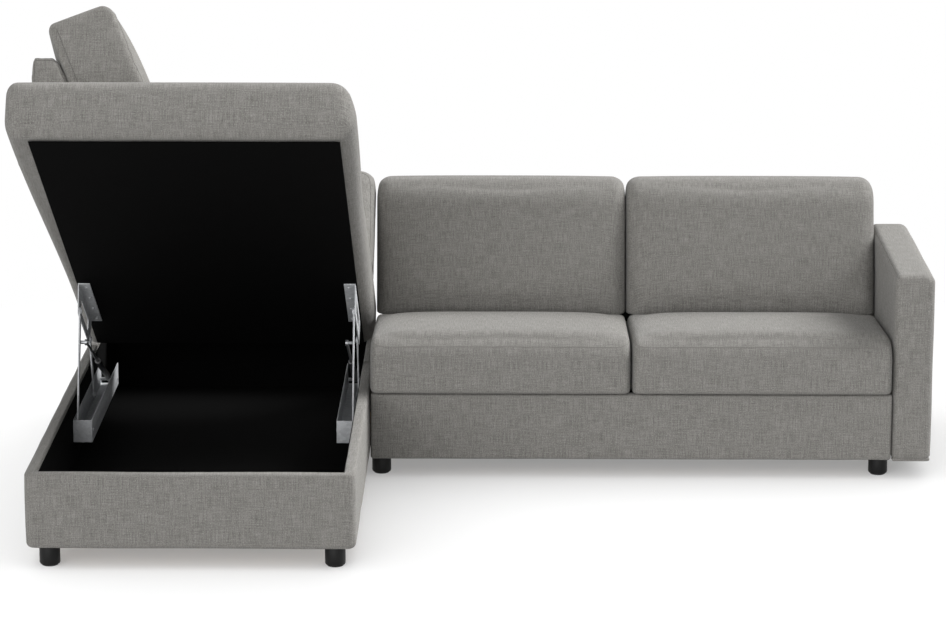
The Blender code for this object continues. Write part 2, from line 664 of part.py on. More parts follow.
def sofa_base(root):
    """Fixed frame of the sofa: sides, rear panel, stretcher, arm, legs and runners."""
    frame_front = SOFA_SETBACK + PANEL + TOUCH
    rear_face = DEPTH - REAR_PANEL
    low = LEG_HEIGHT
    side_top = low + SIDE_BOARD_HEIGHT
    left_in, right_in = SOFA_LEFT + SIDE_BOARD, SOFA_RIGHT - SIDE_BOARD
    board_rear = rear_face - TOUCH
    box("sofa_left_side", (SOFA_LEFT, frame_front, low), (left_in, board_rear, side_top), "birch", root)
    box("sofa_right_side", (right_in, frame_front, low), (SOFA_RIGHT, board_rear, side_top), "birch", root)
    box("sofa_rear_panel", (SOFA_LEFT, rear_face, low), (SOFA_RIGHT, DEPTH, low + REAR_PANEL_HEIGHT),
        "grey_fabric", root, PANEL_EDGE)
    beam = frame_front + STRETCHER_SETBACK
    box("sofa_stretcher", (left_in + TOUCH, beam, low),
        (right_in - TOUCH, beam + STRETCHER_DEPTH, low + STRETCHER_HEIGHT), "birch", root, RAIL_EDGE, 1)
    box("sofa_arm", (WIDTH - ARM_WIDTH, SOFA_SETBACK, low), (WIDTH, DEPTH - ARM_FROM_REAR, ARM_HEIGHT),
        "grey_fabric", root, ARM_EDGE)
    rows = {"front": SOFA_SETBACK + SOFA_LEG_SETBACK, "rear": rear_face - LEG_DIAMETER}
    for end, y in rows.items():
        leg(f"sofa_leg_{end}_left", SOFA_LEFT + SOFA_LEG_INSET, y, root)
        leg(f"sofa_leg_{end}_right", SOFA_RIGHT - SOFA_LEG_INSET, y, root)
    seam = (CHAISE_WIDTH + SOFA_LEFT) / 2
    tie_rear = DEPTH - TIE_PLATE_FROM_REAR
    half = TIE_PLATE_WIDTH / 2
    tie_top = low - TOUCH
    box("module_tie_plate", (seam - half, tie_rear - TIE_PLATE_LENGTH, tie_top - TIE_PLATE_SHEET),
        (seam + half, tie_rear, tie_top), "grey_steel", root)
    for side, wall, inward in (("left", left_in, 1), ("right", right_in, -1)):
        runner_rail(side, wall + inward * TOUCH, inward, frame_front, root)


def runner_rail(side, wall, inward, start, root):
    """A fixed channel rail, open towards the seat."""
    foot = LEG_HEIGHT + RUNNER_FOOT
    top = foot + RUNNER_HEIGHT
    far = wall + inward * RUNNER_WIDTH
    web = wall + inward * RUNNER_SHEET
    channel = [(wall, foot), (far, foot), (far, foot + RUNNER_SHEET), (web, foot + RUNNER_SHEET),
               (web, top - RUNNER_SHEET), (far, top - RUNNER_SHEET), (far, top), (wall, top)]
    mesh = plate_mesh(f"runner_outer_{side}", [channel], RUNNER_LENGTH)
    add_part(f"runner_outer_{side}", mesh, "grey_steel", root, (0, start + RUNNER_LENGTH / 2, 0), ON_Y)


def pull_out_seat(seat):
    """Front panel, rails, sprung slats, inner runners and seat cushions, on one slide."""
    left, right = SOFA_LEFT + SLIDE_GAP, SOFA_RIGHT - SLIDE_GAP + TOUCH
    low = LEG_HEIGHT
    box("front_panel", (left, SOFA_SETBACK, low), (right, SOFA_SETBACK + PANEL, SEAT_PLANE), "grey_fabric",
        seat, PANEL_EDGE)
    start = SOFA_SETBACK + PANEL + TOUCH
    end = start + DECK_DEPTH
    rail_foot = low + RUNNER_FOOT
    rail_top = rail_foot + RAIL_HEIGHT
    wall_left = SOFA_LEFT + SIDE_BOARD + TOUCH
    wall_right = SOFA_RIGHT - SIDE_BOARD - TOUCH
    slim = RUNNER_SHEET + RUNNING_GAP
    near = RUNNER_WIDTH + RUNNING_GAP
    for side, wall, inward in (("left", wall_left, 1), ("right", wall_right, -1)):
        bar = sorted((wall + inward * slim, wall + inward * near))
        box(f"runner_inner_{side}", (bar[0], start, rail_foot + slim),
            (bar[1], end, rail_foot + RUNNER_HEIGHT - slim), "grey_steel", seat)
    frame_left, frame_right = wall_left + near + TOUCH, wall_right - near - TOUCH
    cross_left, cross_right = frame_left + RAIL + TOUCH, frame_right - RAIL - TOUCH
    rails = {
        "deck_rail_left": ((frame_left, start), (frame_left + RAIL, end)),
        "deck_rail_right": ((frame_right - RAIL, start), (frame_right, end)),
        "deck_rear_rail": ((cross_left, end - RAIL), (cross_right, end)),
    }
    for name, (near_corner, far_corner) in rails.items():
        box(name, (*near_corner, rail_foot), (*far_corner, rail_top), "birch", seat, RAIL_EDGE, 1)
    deck_slats(frame_left, frame_right, start, end, rail_top + TOUCH, seat)
    front_y = SOFA_SETBACK - SEAT_OVERHANG
    rear_y = front_y + SEAT_DEPTH
    foot = SEAT_PLANE + TOUCH
    section = [(front_y, foot), (rear_y, foot), (rear_y, foot + SEAT_REAR_HEIGHT),
               (front_y, foot + SEAT_FRONT_HEIGHT)]
    middle = (left + right) / 2
    runs = {"left": (left, middle - SLIDE_GAP), "right": (middle + SLIDE_GAP, right)}
    for side, run in runs.items():
        cushion(f"seat_cushion_{side}", section, run, True, seat, top=SEAT_CROWN, front=SEAT_FRONT_CROWN)


def deck_slats(left, right, start, end, foot, seat):
    """Cambered slats that lie across the rails and carry the cushions at their crests."""
    half = (right - left) / 2
    middle = (left + right) / 2
    crest = SEAT_PLANE - SLAT_THICKNESS

    def arc(lift):
        shares = [2 * k / SLAT_ARC_STEPS - 1 for k in range(SLAT_ARC_STEPS + 1)]
        return [Vector((half * s, lift - (crest - foot) * s * s)) for s in shares]

    outline = arc(0.0) + arc(SLAT_THICKNESS)[::-1]
    pitch = (end - start - SLAT_WIDTH) / (SLAT_COUNT - 1)
    for k in range(SLAT_COUNT):
        slat = plate_mesh(f"deck_slat_{k + 1}", [outline], SLAT_WIDTH)
        y = start + SLAT_WIDTH / 2 + k * pitch
        add_part(f"deck_slat_{k + 1}", slat, "birch", seat, (middle, y, crest), ON_Y)


def eye_arc(first, last, steps=14):
    """Points on the hinge eye between two angles in degrees."""
    angles = [math.radians(first + (last - first) * k / steps) for k in range(steps + 1)]
    return [HINGE_EYE * Vector((math.cos(a), math.sin(a))) for a in angles]


def hinges(left, right, seat, back):
    """Straps with their pins ride with the seat, and leaves ride with the back."""
    rail_rear = SOFA_SETBACK + PANEL + 2 * TOUCH + DECK_DEPTH - HINGE_Y
    rail_foot = LEG_HEIGHT + RUNNER_FOOT - HINGE_HEIGHT
    rail_top = rail_foot + RAIL_HEIGHT
    strap_front = -HINGE_EYE - HINGE_STRAP
    strap = eye_arc(*STRAP_ARC) + [Vector((strap_front, HINGE_EYE / 2)), Vector((strap_front, rail_top)),
                                  Vector((rail_rear, rail_top)), Vector((rail_rear, rail_foot)),
                                  Vector((-HINGE_EYE, rail_foot)), Vector((-HINGE_EYE, -HINGE_STRAP))]
    leaf_top = -LEDGE / 2 - TOUCH
    leaf_foot = leaf_top - HINGE_LEAF
    leaf = eye_arc(*LEAF_ARC) + [Vector((0.0, leaf_foot)), Vector((HINGE_LEAF_LENGTH, leaf_foot)),
                                Vector((HINGE_LEAF_LENGTH, leaf_top)), Vector((LEDGE_FROM_HINGE, leaf_top))]
    hole = ring((0, 0), HINGE_PIN + PIN_PLAY)
    axis = (HINGE_Y, HINGE_HEIGHT)
    half = HINGE_SHEET / 2
    pin_length = 3 * HINGE_SHEET
    for side, x, inward in (("left", left + HINGE_INSET, 1), ("right", right - HINGE_INSET, -1)):
        plate = side_plate(f"hinge_strap_{side}", [strap], x - half, x + half, "grey_steel", seat, axis)
        pin = round_mesh("hinge_pin", HINGE_PIN, pin_length)
        pin_x = x + inward * pin_length / 2
        tool(f"hinge_pin_{side}", "UNION", plate, pin, (pin_x, *axis), (0, math.pi / 2, 0))
        leaf_x = x + inward * (HINGE_SHEET + TOUCH)
        side_plate(f"hinge_leaf_{side}", [leaf, hole], leaf_x - half, leaf_x + half, "grey_steel", back, axis)


def drop_back(seat, back):
    """The hinges, and the ledge, rest and cushions that lie back as the seat slides out."""
    left, right = SOFA_LEFT + BACK_SIDE_CLEARANCE, SOFA_RIGHT - BACK_SIDE_CLEARANCE
    hinges(left, right, seat, back)
    box("back_ledge", (left, HINGE_Y + LEDGE_FROM_HINGE, LEDGE_FOOT),
        (right, BACK_FOOT_Y - TOUCH, LEDGE_FOOT + LEDGE), "birch", back)
    rest = rounded([(BACK_FOOT_Y, LEDGE_FOOT), (DEPTH, LEDGE_FOOT), (DEPTH, REST_HEIGHT),
                    (DEPTH - REST_TOP, REST_HEIGHT)], [0, 0, REST_ROUND / 2, REST_ROUND])
    side_plate("back_frame", [rest], left, right, "grey_fabric", back)
    section = back_cushion_section(LEDGE_FOOT + LEDGE + TOUCH, BACK_CUSHION_TOP)
    first, last = SOFA_LEFT + SLIDE_GAP, SOFA_RIGHT - SLIDE_GAP + TOUCH
    middle = (first + last) / 2
    runs = {"left": (first, middle - SLIDE_GAP), "right": (middle + SLIDE_GAP, last)}
    for side, run in runs.items():
        cushion(f"back_cushion_{side}", section, run, True, back, front=BACK_CUSHION_CROWN,
                corner=CUSHION_CORNER)


def main():
    root = axis_empty("sofa_bed_root", (-WIDTH / 2, -DEPTH / 2, 0.0))
    lid = axis_empty("lid_axis", (0.0, *POLE), root, -LIFT_ANGLE)
    seat = axis_empty("seat_slide", (SOFA_MIDDLE, SOFA_SETBACK, SEAT_PLANE), root)
    back = axis_empty("back_hinge", (SOFA_MIDDLE, HINGE_Y, HINGE_HEIGHT), seat)
    chaise_base(root)
    chaise_top(lid)
    lift_fittings(root, lid)
    sofa_base(root)
    pull_out_seat(seat)
    drop_back(seat, back)


main()
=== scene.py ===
"""Looks of a sofa bed with a lifting storage chaise, laid out as an add-on and run as a script.

Pieces on the chaise's top are drawn as if the top were closed, and then turned up with it.
"""

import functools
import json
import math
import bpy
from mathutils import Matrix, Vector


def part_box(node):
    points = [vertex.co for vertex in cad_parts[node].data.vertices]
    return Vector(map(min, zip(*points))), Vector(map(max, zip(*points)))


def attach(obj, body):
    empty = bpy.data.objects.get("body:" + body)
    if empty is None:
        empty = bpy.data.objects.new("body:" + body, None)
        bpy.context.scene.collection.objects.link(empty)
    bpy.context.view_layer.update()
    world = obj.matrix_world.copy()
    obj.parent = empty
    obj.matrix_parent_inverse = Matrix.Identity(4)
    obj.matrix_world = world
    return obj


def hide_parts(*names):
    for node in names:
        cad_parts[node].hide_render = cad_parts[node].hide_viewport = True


bl_info = {
    "name": "Sofa Bed With Chaise",
    "version": (1, 0, 0),
    "blender": (4, 5, 0),
    "location": "3D View > Sidebar > Sofa Bed",
    "description": "Upholstery, cushions, lift fittings, bed frame and studio of a sofa bed with a chaise",
    "category": "Object",
}

from typing import NamedTuple

import bmesh
import bpy
import numpy as np
from bpy.props import FloatProperty, FloatVectorProperty, IntProperty, PointerProperty
from mathutils import Matrix, Vector
from mathutils.bvhtree import BVHTree
from mathutils.kdtree import KDTree

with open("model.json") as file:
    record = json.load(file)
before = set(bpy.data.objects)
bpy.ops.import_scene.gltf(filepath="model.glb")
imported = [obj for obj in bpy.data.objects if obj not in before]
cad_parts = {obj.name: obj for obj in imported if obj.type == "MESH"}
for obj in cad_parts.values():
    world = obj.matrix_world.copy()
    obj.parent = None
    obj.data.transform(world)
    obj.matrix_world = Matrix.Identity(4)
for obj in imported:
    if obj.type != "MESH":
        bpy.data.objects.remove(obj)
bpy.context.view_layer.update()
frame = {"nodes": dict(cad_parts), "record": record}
NODES = frame["nodes"]
BEHAVIOUR = frame["record"]["behaviour"]
BODY_OF = {node: body for body, nodes in BEHAVIOUR["bodies"].items() for node in nodes}
JOINTS = {joint["name"]: joint for joint in BEHAVIOUR["joints"]}
WEAVE_MAP = "weave"
AXIS_MARK = "axis"
LEVEL = Matrix.Identity(4)
BOTH_SIDES = ("left", "right")

# Distance between the points of a seam's path, and the gap between a cushion and what it lies on
PATH_STEP = 0.004
CLEARANCE = 0.0003


def shown_colour(*levels):
    """Red, green and blue as seen on a screen, 0 to 255, as the linear values that shaders take."""
    shown = np.array(levels) / 255
    linear = np.where(shown < 0.0404, shown / 12.92, ((shown + 0.055) / 1.055) ** 2.4)
    return tuple(linear.tolist())


class Sides(NamedTuple):
    """A length for each side of a block, as seen by someone who looks at its front."""

    left: float = 0.0
    right: float = 0.0
    front: float = 0.0
    rear: float = 0.0
    foot: float = 0.0
    top: float = 0.0


class FabricLook(bpy.types.PropertyGroup):
    """Colours and thread sizes of the upholstery."""

    dark: FloatVectorProperty(
        name="Dark Yarn", description="Colour of the darker yarns",
        subtype="COLOR", size=3, min=0.0, max=1.0, default=shown_colour(98, 96, 92))
    light: FloatVectorProperty(
        name="Light Yarn", description="Colour of the lighter yarns",
        subtype="COLOR", size=3, min=0.0, max=1.0, default=shown_colour(153, 151, 147))
    fleck: FloatVectorProperty(
        name="Fleck", description="Colour of the pale flecks in the yarn",
        subtype="COLOR", size=3, min=0.0, max=1.0, default=shown_colour(188, 186, 180))
    # The seam colour is painted shade: the folded edge in a sewn seam is darkened to stand for the shade down
    # in its groove
    seam: FloatVectorProperty(
        name="Seam", description="Colour down in a sewn seam",
        subtype="COLOR", size=3, min=0.0, max=1.0, default=shown_colour(98, 96, 93))
    thread: FloatVectorProperty(
        name="Thread", description="Colour of the sewing thread",
        subtype="COLOR", size=3, min=0.0, max=1.0, default=shown_colour(134, 132, 128))
    yarn: FloatProperty(
        name="Yarn Pitch", description="Distance from one yarn to the next",
        default=0.0014, min=0.0005, unit="LENGTH")
    slub: FloatProperty(
        name="Slub Width", description="Width of a thicker streak in the weave",
        default=0.0024, min=0.0005, unit="LENGTH")
    slub_length: FloatProperty(
        name="Slub Length", description="Length of a thicker streak in the weave",
        default=0.048, min=0.002, unit="LENGTH")


class CushionForm(bpy.types.PropertyGroup):
    """Shape and filling of the loose cushions and the seat pad."""

    pressure: FloatProperty(
        name="Filling Pressure", description="How hard the filling pushes on the cover",
        default=4.0, min=0.0)
    cap: FloatProperty(
        name="Largest Swell", description="How far the filling may move any point of a cover",
        default=0.009, min=0.0, unit="LENGTH")
    draw_in: FloatProperty(
        name="Largest Draw-In", description="How far a cover's edges may be drawn in",
        default=0.001, min=0.0001, unit="LENGTH")
    slack: FloatProperty(
        name="Start Inset", description="How much smaller a cover is before it is filled",
        default=0.005, min=0.0, unit="LENGTH")
    step: FloatProperty(
        name="Cover Grid", description="Grid of a cushion cover before it is smoothed",
        default=0.0105, min=0.003, unit="LENGTH")
    pad_step: FloatProperty(
        name="Pad Grid", description="Grid of the chaise's seat pad before it is smoothed",
        default=0.0135, min=0.003, unit="LENGTH")
    back_depth: FloatProperty(
        name="Back Cushion Depth", description="Thickness of a back cushion at its foot",
        default=0.154, min=0.02, unit="LENGTH")
    lean: FloatProperty(
        name="Back Lean", description="How far a back cushion's top lies behind its foot",
        default=0.098, unit="LENGTH")
    seat_fall: FloatProperty(
        name="Seat Fall", description="How much lower a seat cushion is at its rear",
        default=0.046, unit="LENGTH")
    squeeze: FloatVectorProperty(
        name="Squeeze",
        description="How far a cushion's ends, rear and foot are pressed flat against what is there",
        size=3, default=(0.007, 0.004, 0.004), unit="LENGTH")
    evening: IntProperty(
        name="Evening", description="How often the filling's push is averaged over a cover",
        default=160, min=0)
    frames: IntProperty(
        name="Filling Steps", description="Steps that the filling is given to settle",
        default=20, min=1)


class CoverForm(bpy.types.PropertyGroup):
    """Grid, padding and seams of the covers on the fixed upholstery."""

    step: FloatProperty(
        name="Cover Grid", description="Grid of the covers on rests, arm and panels",
        default=0.007, min=0.002, unit="LENGTH")
    padding: FloatProperty(
        name="Padding", description="How far a padded face stands out in its middle",
        default=0.003, min=0.0, unit="LENGTH")
    ripple: FloatProperty(
        name="Unevenness", description="Height of the slow unevenness of a hand-pulled cover",
        default=0.0003, min=0.0, unit="LENGTH")
    seam_depth: FloatProperty(
        name="Seam Depth", description="How deep a sewn seam pulls the cover in",
        default=0.0028, min=0.0, unit="LENGTH")
    seam_width: FloatProperty(
        name="Seam Width", description="How wide the dip along a seam is",
        default=0.0065, min=0.001, unit="LENGTH")
    stitch: FloatProperty(
        name="Stitch Pitch", description="Distance from one stitch to the next",
        default=0.006, min=0.002, unit="LENGTH")
    thread: FloatProperty(
        name="Thread Radius", description="Radius of the sewing thread",
        default=0.00045, min=0.0001, unit="LENGTH")
    cord: FloatProperty(
        name="Seam Radius", description="Radius of the folded edge seen in a seam",
        default=0.0009, min=0.0002, unit="LENGTH")


class StudioLight(bpy.types.PropertyGroup):
    """Camera and light of the studio."""

    camera_place: FloatVectorProperty(
        name="Camera", description="Where the camera stands",
        size=3, default=(0.0300, -9.5467, 2.7543), subtype="TRANSLATION", unit="LENGTH")
    camera_turn: FloatVectorProperty(
        name="Camera Turn", description="Where the camera looks",
        size=3, default=(math.radians(76.796), 0.0, math.radians(0.616)), subtype="EULER")
    lens: FloatProperty(
        name="Lens", description="Focal length on a 36 mm wide sensor, in millimetres",
        default=131.77, min=10.0)
    key: FloatProperty(
        name="Key Light", description="Strength of the soft light from the upper right",
        default=4.5, min=0.0)
    fill: FloatProperty(
        name="Fill Light", description="Strength of the soft light from the front",
        default=2.55, min=0.0)
    floor: FloatProperty(
        name="Floor Light", description="Strength of the wide light on the floor alone",
        default=3.1, min=0.0)
    room: FloatProperty(
        name="Room Light", description="Strength of the even light from all round",
        default=0.38, min=0.0)


def coords(mesh, name="co"):
    """A mesh's points, or another three values that each of its points has."""
    values = np.empty(len(mesh.vertices) * 3)
    mesh.vertices.foreach_get(name, values)
    return values.reshape(-1, 3)


def set_coords(mesh, points):
    """Move a mesh's points to the given places."""
    mesh.vertices.foreach_set("co", np.asarray(points, np.float32).ravel())
    mesh.update()


def node_points(node):
    """The points of a CAD node."""
    return coords(NODES[node].data)


def lid_turn():
    """The turn about x that opens the chaise's top, read from the long side of its flat lining."""
    corners = np.unique(node_points("lid_lining").round(5), axis=0)[:, 1:]
    _, _, axes = np.linalg.svd(corners - corners.mean(0), full_matrices=False)
    y, z = axes[0]
    return Matrix.Rotation(math.atan(z / y), 4, "X")


LID = lid_turn()


def upright_box(node, turn=LEVEL):
    """Lowest and highest corner of a node with its body's turn taken back."""
    points = node_points(node) @ np.array(turn.to_3x3())
    return points.min(0), points.max(0)


def mesh_of(name, points, faces):
    """A mesh from points and faces."""
    mesh = bpy.data.meshes.new(name)
    mesh.from_pydata(np.asarray(points).tolist(), [], np.asarray(faces).tolist())
    mesh.update()
    return mesh


def link(name, mesh):
    """An object of a mesh, in the scene."""
    piece = bpy.data.objects.new(name, mesh)
    bpy.context.scene.collection.objects.link(piece)
    return piece


def drop(piece):
    """Remove an object, and its mesh if nothing else has it."""
    mesh = piece.data
    bpy.data.objects.remove(piece, do_unlink=True)
    if mesh and not mesh.users:
        bpy.data.meshes.remove(mesh)


def settled_mesh(piece, name):
    """A plain mesh of a piece as its modifiers leave it."""
    graph = bpy.context.evaluated_depsgraph_get()
    mesh = bpy.data.meshes.new_from_object(piece.evaluated_get(graph), preserve_all_data_layers=True,
                                           depsgraph=graph)
    mesh.name = name
    return mesh


def grid_block(cuts):
    """The surface of a block cut at the given places along x, y and z, as points and quads."""
    counts = [len(places) for places in cuts]
    shell = np.ones(counts, bool)
    shell[1:-1, 1:-1, 1:-1] = False
    index = np.full(counts, -1)
    index[shell] = np.arange(shell.sum())
    points = np.stack(np.meshgrid(*cuts, indexing="ij"), -1)[shell]
    quads = []
    for axis in range(3):
        for end in (0, -1):
            side = np.take(index, end, axis=axis)
            ring = [side[:-1, :-1], side[1:, :-1], side[1:, 1:], side[:-1, 1:]]
            if (end == 0) != (axis == 1):
                ring.reverse()
            quads.append(np.stack(ring, -1).reshape(-1, 4))
    return points, np.concatenate(quads)


def cut_places(low, high, near, far, step):
    """Cuts along one axis: even angles over both rounded ends and even steps between them."""

    def arc(radius):
        count = max(3, math.ceil(radius / step))
        return radius * np.tan(np.pi / 4 * np.arange(1, count + 1) / count)

    start, end = low + near, high - far
    middle = np.linspace(start, end, max(2, math.ceil((end - start) / step) + 1))
    return np.concatenate([start - arc(near)[::-1], middle, end + arc(far)])


def soft_block(low, high, radii, step):
    """A block whose sides meet in rounded edges, as points and quads.

    radii: how far the rounding reaches along x, y and z from the left, right, front, rear,
    foot and top side.
    """
    low, high = np.array(low, float), np.array(high, float)
    near, far = np.array(radii[0::2]), np.array(radii[1::2])
    points, quads = grid_block([cut_places(low[i], high[i], near[i], far[i], step) for i in range(3)])
    core = np.clip(points, low + near, high - far)
    reach = points - core
    span = np.where(reach < 0, near, far)
    share = reach / span
    largest = np.abs(share).max(1, keepdims=True)
    length = np.linalg.norm(share, axis=1, keepdims=True)
    share *= np.divide(largest, length, out=np.ones_like(length), where=length > 0)
    return core + share * span, quads


def pad_out(points, low, high, amounts):
    """Swell the six sides of a block by the given amounts, most in the middle of each side."""
    low, high = np.array(low, float), np.array(high, float)
    place = (points - (low + high) / 2) / ((high - low) / 2)
    level = np.clip(1 - np.abs(place) ** 3, 0, 1)
    moved = points.copy()
    for side, amount in enumerate(amounts):
        axis, sign = side // 2, (1 if side % 2 else -1)
        others = [i for i in range(3) if i != axis]
        facing = np.clip(sign * place[:, axis], 0, 1) ** 2
        moved[:, axis] += sign * amount * facing * level[:, others[0]] * level[:, others[1]]
    return moved


def eased(share):
    """A share that starts and ends gently between 0 and 1."""
    share = np.clip(share, 0, 1)
    return share * share * (3 - 2 * share)


def flared(points, size, left, right, shoulder):
    """Widen a block towards its front by the given lengths at its left and right side.

    shoulder: how far the top of the right side is drawn in.
    """
    u, v, w = (points / np.array(size)).T
    long_flare, short_flare = eased(1.05 - 1.3 * v), eased(1.1 - 2.3 * v)
    moved = points.copy()
    moved[:, 0] -= left * long_flare * np.clip(1 - 2 * u, 0, 1) ** 2
    moved[:, 0] += right * short_flare * np.clip(2 * u - 1, 0, 1) ** 2
    moved[:, 0] -= shoulder * long_flare * eased(1.6 * w - 0.6) * np.clip(5 * u - 4, 0, 1) ** 2
    return moved


def bellied(points, size, depth, peak):
    """Push a block's front out by a depth, most at one share of its height and less towards its edges."""
    u, v, w = np.clip(points / np.array(size), 0, 1).T
    rise = np.where(w < peak, 1 - (1 - w / peak) ** 2, eased((1 - w) / (1 - peak)))
    moved = points.copy()
    moved[:, 1] -= depth * rise * (1 - np.abs(2 * u - 1) ** 6) * (1 - v) ** 2
    return moved


def ripple(points, height, wave, seed):
    """A slow seeded unevenness at each point, from a few crossing waves."""
    draw = np.random.default_rng(seed)
    total = np.zeros(len(points))
    count = 14
    for _ in range(count):
        direction = draw.normal(size=3)
        direction *= 2 * np.pi / (wave * draw.uniform(0.6, 1.7)) / np.linalg.norm(direction)
        total += np.sin(points @ direction + draw.uniform(0, 2 * np.pi))
    return height * total / math.sqrt(count / 2)


def to_section(points, size, section, run, along_x):
    """Bend a block that stands at the origin to a four-cornered section, run along x or y.

    section: lower front, lower rear, upper rear and upper front corner, as (depth, height).
    """
    u, v, w = (points / np.array(size)).T[:, :, None]
    low_front, low_rear, top_rear, top_front = np.array(section)
    foot = low_front + v * (low_rear - low_front)
    head = top_front + v * (top_rear - top_front)
    deep = foot + w * (head - foot)
    along = run[0] + (run[1] - run[0]) * u[:, 0]
    if along_x:
        return np.stack([along, deep[:, 0], deep[:, 1]], 1)
    return np.stack([deep[:, 0], along, deep[:, 1]], 1)


def section_size(section, run):
    """Length, depth and height of what a section and its run take in."""
    low_front, low_rear, top_rear, top_front = np.array(section)
    depth = np.linalg.norm(low_rear - low_front)
    height = (np.linalg.norm(top_front - low_front) + np.linalg.norm(top_rear - low_rear)) / 2
    return abs(run[1] - run[0]), depth, height


def from_section(points, section, run, along_x):
    """Shares of the run, the depth and the height at each point: the way back from to_section."""
    low_front, low_rear, top_rear, top_front = np.array(section, float)
    ahead, up = low_rear - low_front, top_front - low_front
    twist = top_rear - top_front - ahead
    along = points[:, 0] if along_x else points[:, 1]
    flat = np.stack([points[:, 1] if along_x else points[:, 0], points[:, 2]], 1)
    v = np.full(len(points), 0.5)
    w = v.copy()
    for _ in range(8):
        wrong = low_front + np.outer(v, ahead) + np.outer(w, up) + np.outer(v * w, twist) - flat
        by_v, by_w = ahead + np.outer(w, twist), up + np.outer(v, twist)
        area = by_v[:, 0] * by_w[:, 1] - by_v[:, 1] * by_w[:, 0]
        v -= (wrong[:, 0] * by_w[:, 1] - wrong[:, 1] * by_w[:, 0]) / area
        w -= (by_v[:, 0] * wrong[:, 1] - by_v[:, 1] * wrong[:, 0]) / area
    return np.stack([(along - run[0]) / (run[1] - run[0]), v, w], 1)


def eased_stop(values, limit, margin):
    """Values that come to rest at a limit, gently from a margin before it."""
    over = np.clip(values - limit + margin, 0, None)
    return values - over + margin * (1 - np.exp(-over / margin))


def face_loop(section, run, along_x, side, sink, inset, corner):
    """A closed path just inside the edge of a cushion's front, rear, top or foot panel.

    sink: how far below the panel's face the path lies. inset: how far in from its edges.
    """
    length, depth, height = section_size(section, run)
    wide = depth if side in ("top", "foot") else height
    flat = rounded_loop(length - 2 * inset, wide - 2 * inset, corner)
    u = (flat[:, 0] + inset) / length
    other = (flat[:, 1] + inset) / wide
    if side in ("top", "foot"):
        share = sink / height
        w = np.full_like(u, 1 - share if side == "top" else share)
        unit = np.stack([u, other, w], 1)
    else:
        share = sink / depth
        v = np.full_like(u, share if side == "front" else 1 - share)
        unit = np.stack([u, v, other], 1)
    return to_section(unit, (1, 1, 1), section, run, along_x)


def corner_arcs(width, height, radius, count):
    """The four round corners of a rectangle, each as points, from its lower right corner on."""
    right, upper = width - radius, height - radius
    arcs = []
    for turn, centre in enumerate(((right, radius), (right, upper), (radius, upper), (radius, radius))):
        angles = np.pi / 2 * (turn - 1 + np.arange(count + 1) / count)
        arcs.append(np.array(centre) + radius * np.stack([np.cos(angles), np.sin(angles)], 1))
    return arcs


def rounded_loop(width, height, radius):
    """Points round a rectangle with round corners, from its lower right corner on."""
    radius = min(radius, width / 2.1, height / 2.1)
    count = max(4, math.ceil(radius * math.pi / 2 / PATH_STEP))
    return resampled(np.concatenate(corner_arcs(width, height, radius, count)), closed=True)


def resampled(points, step=PATH_STEP, closed=False):
    """Points along a path at an even step."""
    points = np.asarray(points, float)
    if closed:
        points = np.concatenate([points, points[:1]])
    lengths = np.linalg.norm(np.diff(points, axis=0), axis=1)
    places = np.concatenate([[0], np.cumsum(lengths)])
    count = max(2, int(round(places[-1] / step)))
    at = np.linspace(0, places[-1], count + 1)
    even = np.stack([np.interp(at, places, points[:, i]) for i in range(points.shape[1])], 1)
    return even[:-1] if closed else even


def evened(values, quads, rounds):
    """Values at a cover's points, averaged with those of their neighbours a number of times."""
    edges = np.concatenate([quads[:, [i, (i + 1) % 4]] for i in range(4)])
    first, second = np.concatenate([edges, edges[:, ::-1]]).T
    count = np.bincount(first, minlength=len(values))
    for _ in range(rounds):
        values = (values + np.bincount(first, values[second], len(values)) / count) / 2
    return values


def weave_map(mesh, turn=LEVEL, bend=0.35):
    """Lay a weave map over a mesh in metres, seen square on from the side that each face looks to.

    Over an edge between front and top the map runs on, with depth added to height.
    bend: how far a face leans to the rear or the foot before it counts as one of these.
    """
    count = len(mesh.loops)
    corner = np.empty(count, int)
    mesh.loops.foreach_get("vertex_index", corner)
    sizes = np.empty(len(mesh.polygons), int)
    mesh.polygons.foreach_get("loop_total", sizes)
    normals = np.empty(len(mesh.polygons) * 3)
    mesh.polygons.foreach_get("normal", normals)
    back = np.array(turn.to_3x3())
    normals = (normals.reshape(-1, 3) @ back).repeat(sizes, 0)
    end = np.abs(normals).argmax(1) == 0
    depth = np.where((normals[:, 1] < bend) == (normals[:, 2] > -bend), 1.0, -1.0)
    x, y, z = (coords(mesh) @ back)[corner].T
    across = np.where(end, y, x)
    along = np.where(end, z, z + depth * y)
    layer = mesh.uv_layers.get(WEAVE_MAP) or mesh.uv_layers.new(name=WEAVE_MAP)
    layer.uv.foreach_set("vector", np.stack([across, along], 1).astype(np.float32).ravel())


def subdivided(name, points, quads):
    """A mesh with one smooth subdivision."""
    rough = link(name + "_cage", mesh_of(name + "_cage", points, quads))
    smooth = rough.modifiers.new("smooth", "SUBSURF")
    smooth.levels = 1
    smooth.render_levels = 1
    mesh = settled_mesh(rough, name)
    drop(rough)
    return mesh


def press_seams(mesh, paths, depth, width, seed):
    """Pull a cover in along its seams, with small gathers beside them."""
    if not paths:
        return
    gather_height, gather_wave, gather_reach = 0.16 * depth, 0.022, 3.2 * width
    samples = np.concatenate(paths)
    tree = KDTree(len(samples))
    for i, place in enumerate(samples):
        tree.insert(place, i)
    tree.balance()
    points, normals = coords(mesh), coords(mesh, "normal")
    distance = np.array([tree.find(place)[2] for place in points])
    gather = ripple(points, gather_height, gather_wave, seed) * np.exp(-(distance / gather_reach) ** 2)
    pull = depth * np.exp(-(distance / width) ** 2)
    set_coords(mesh, points + normals * (gather - pull)[:, None])


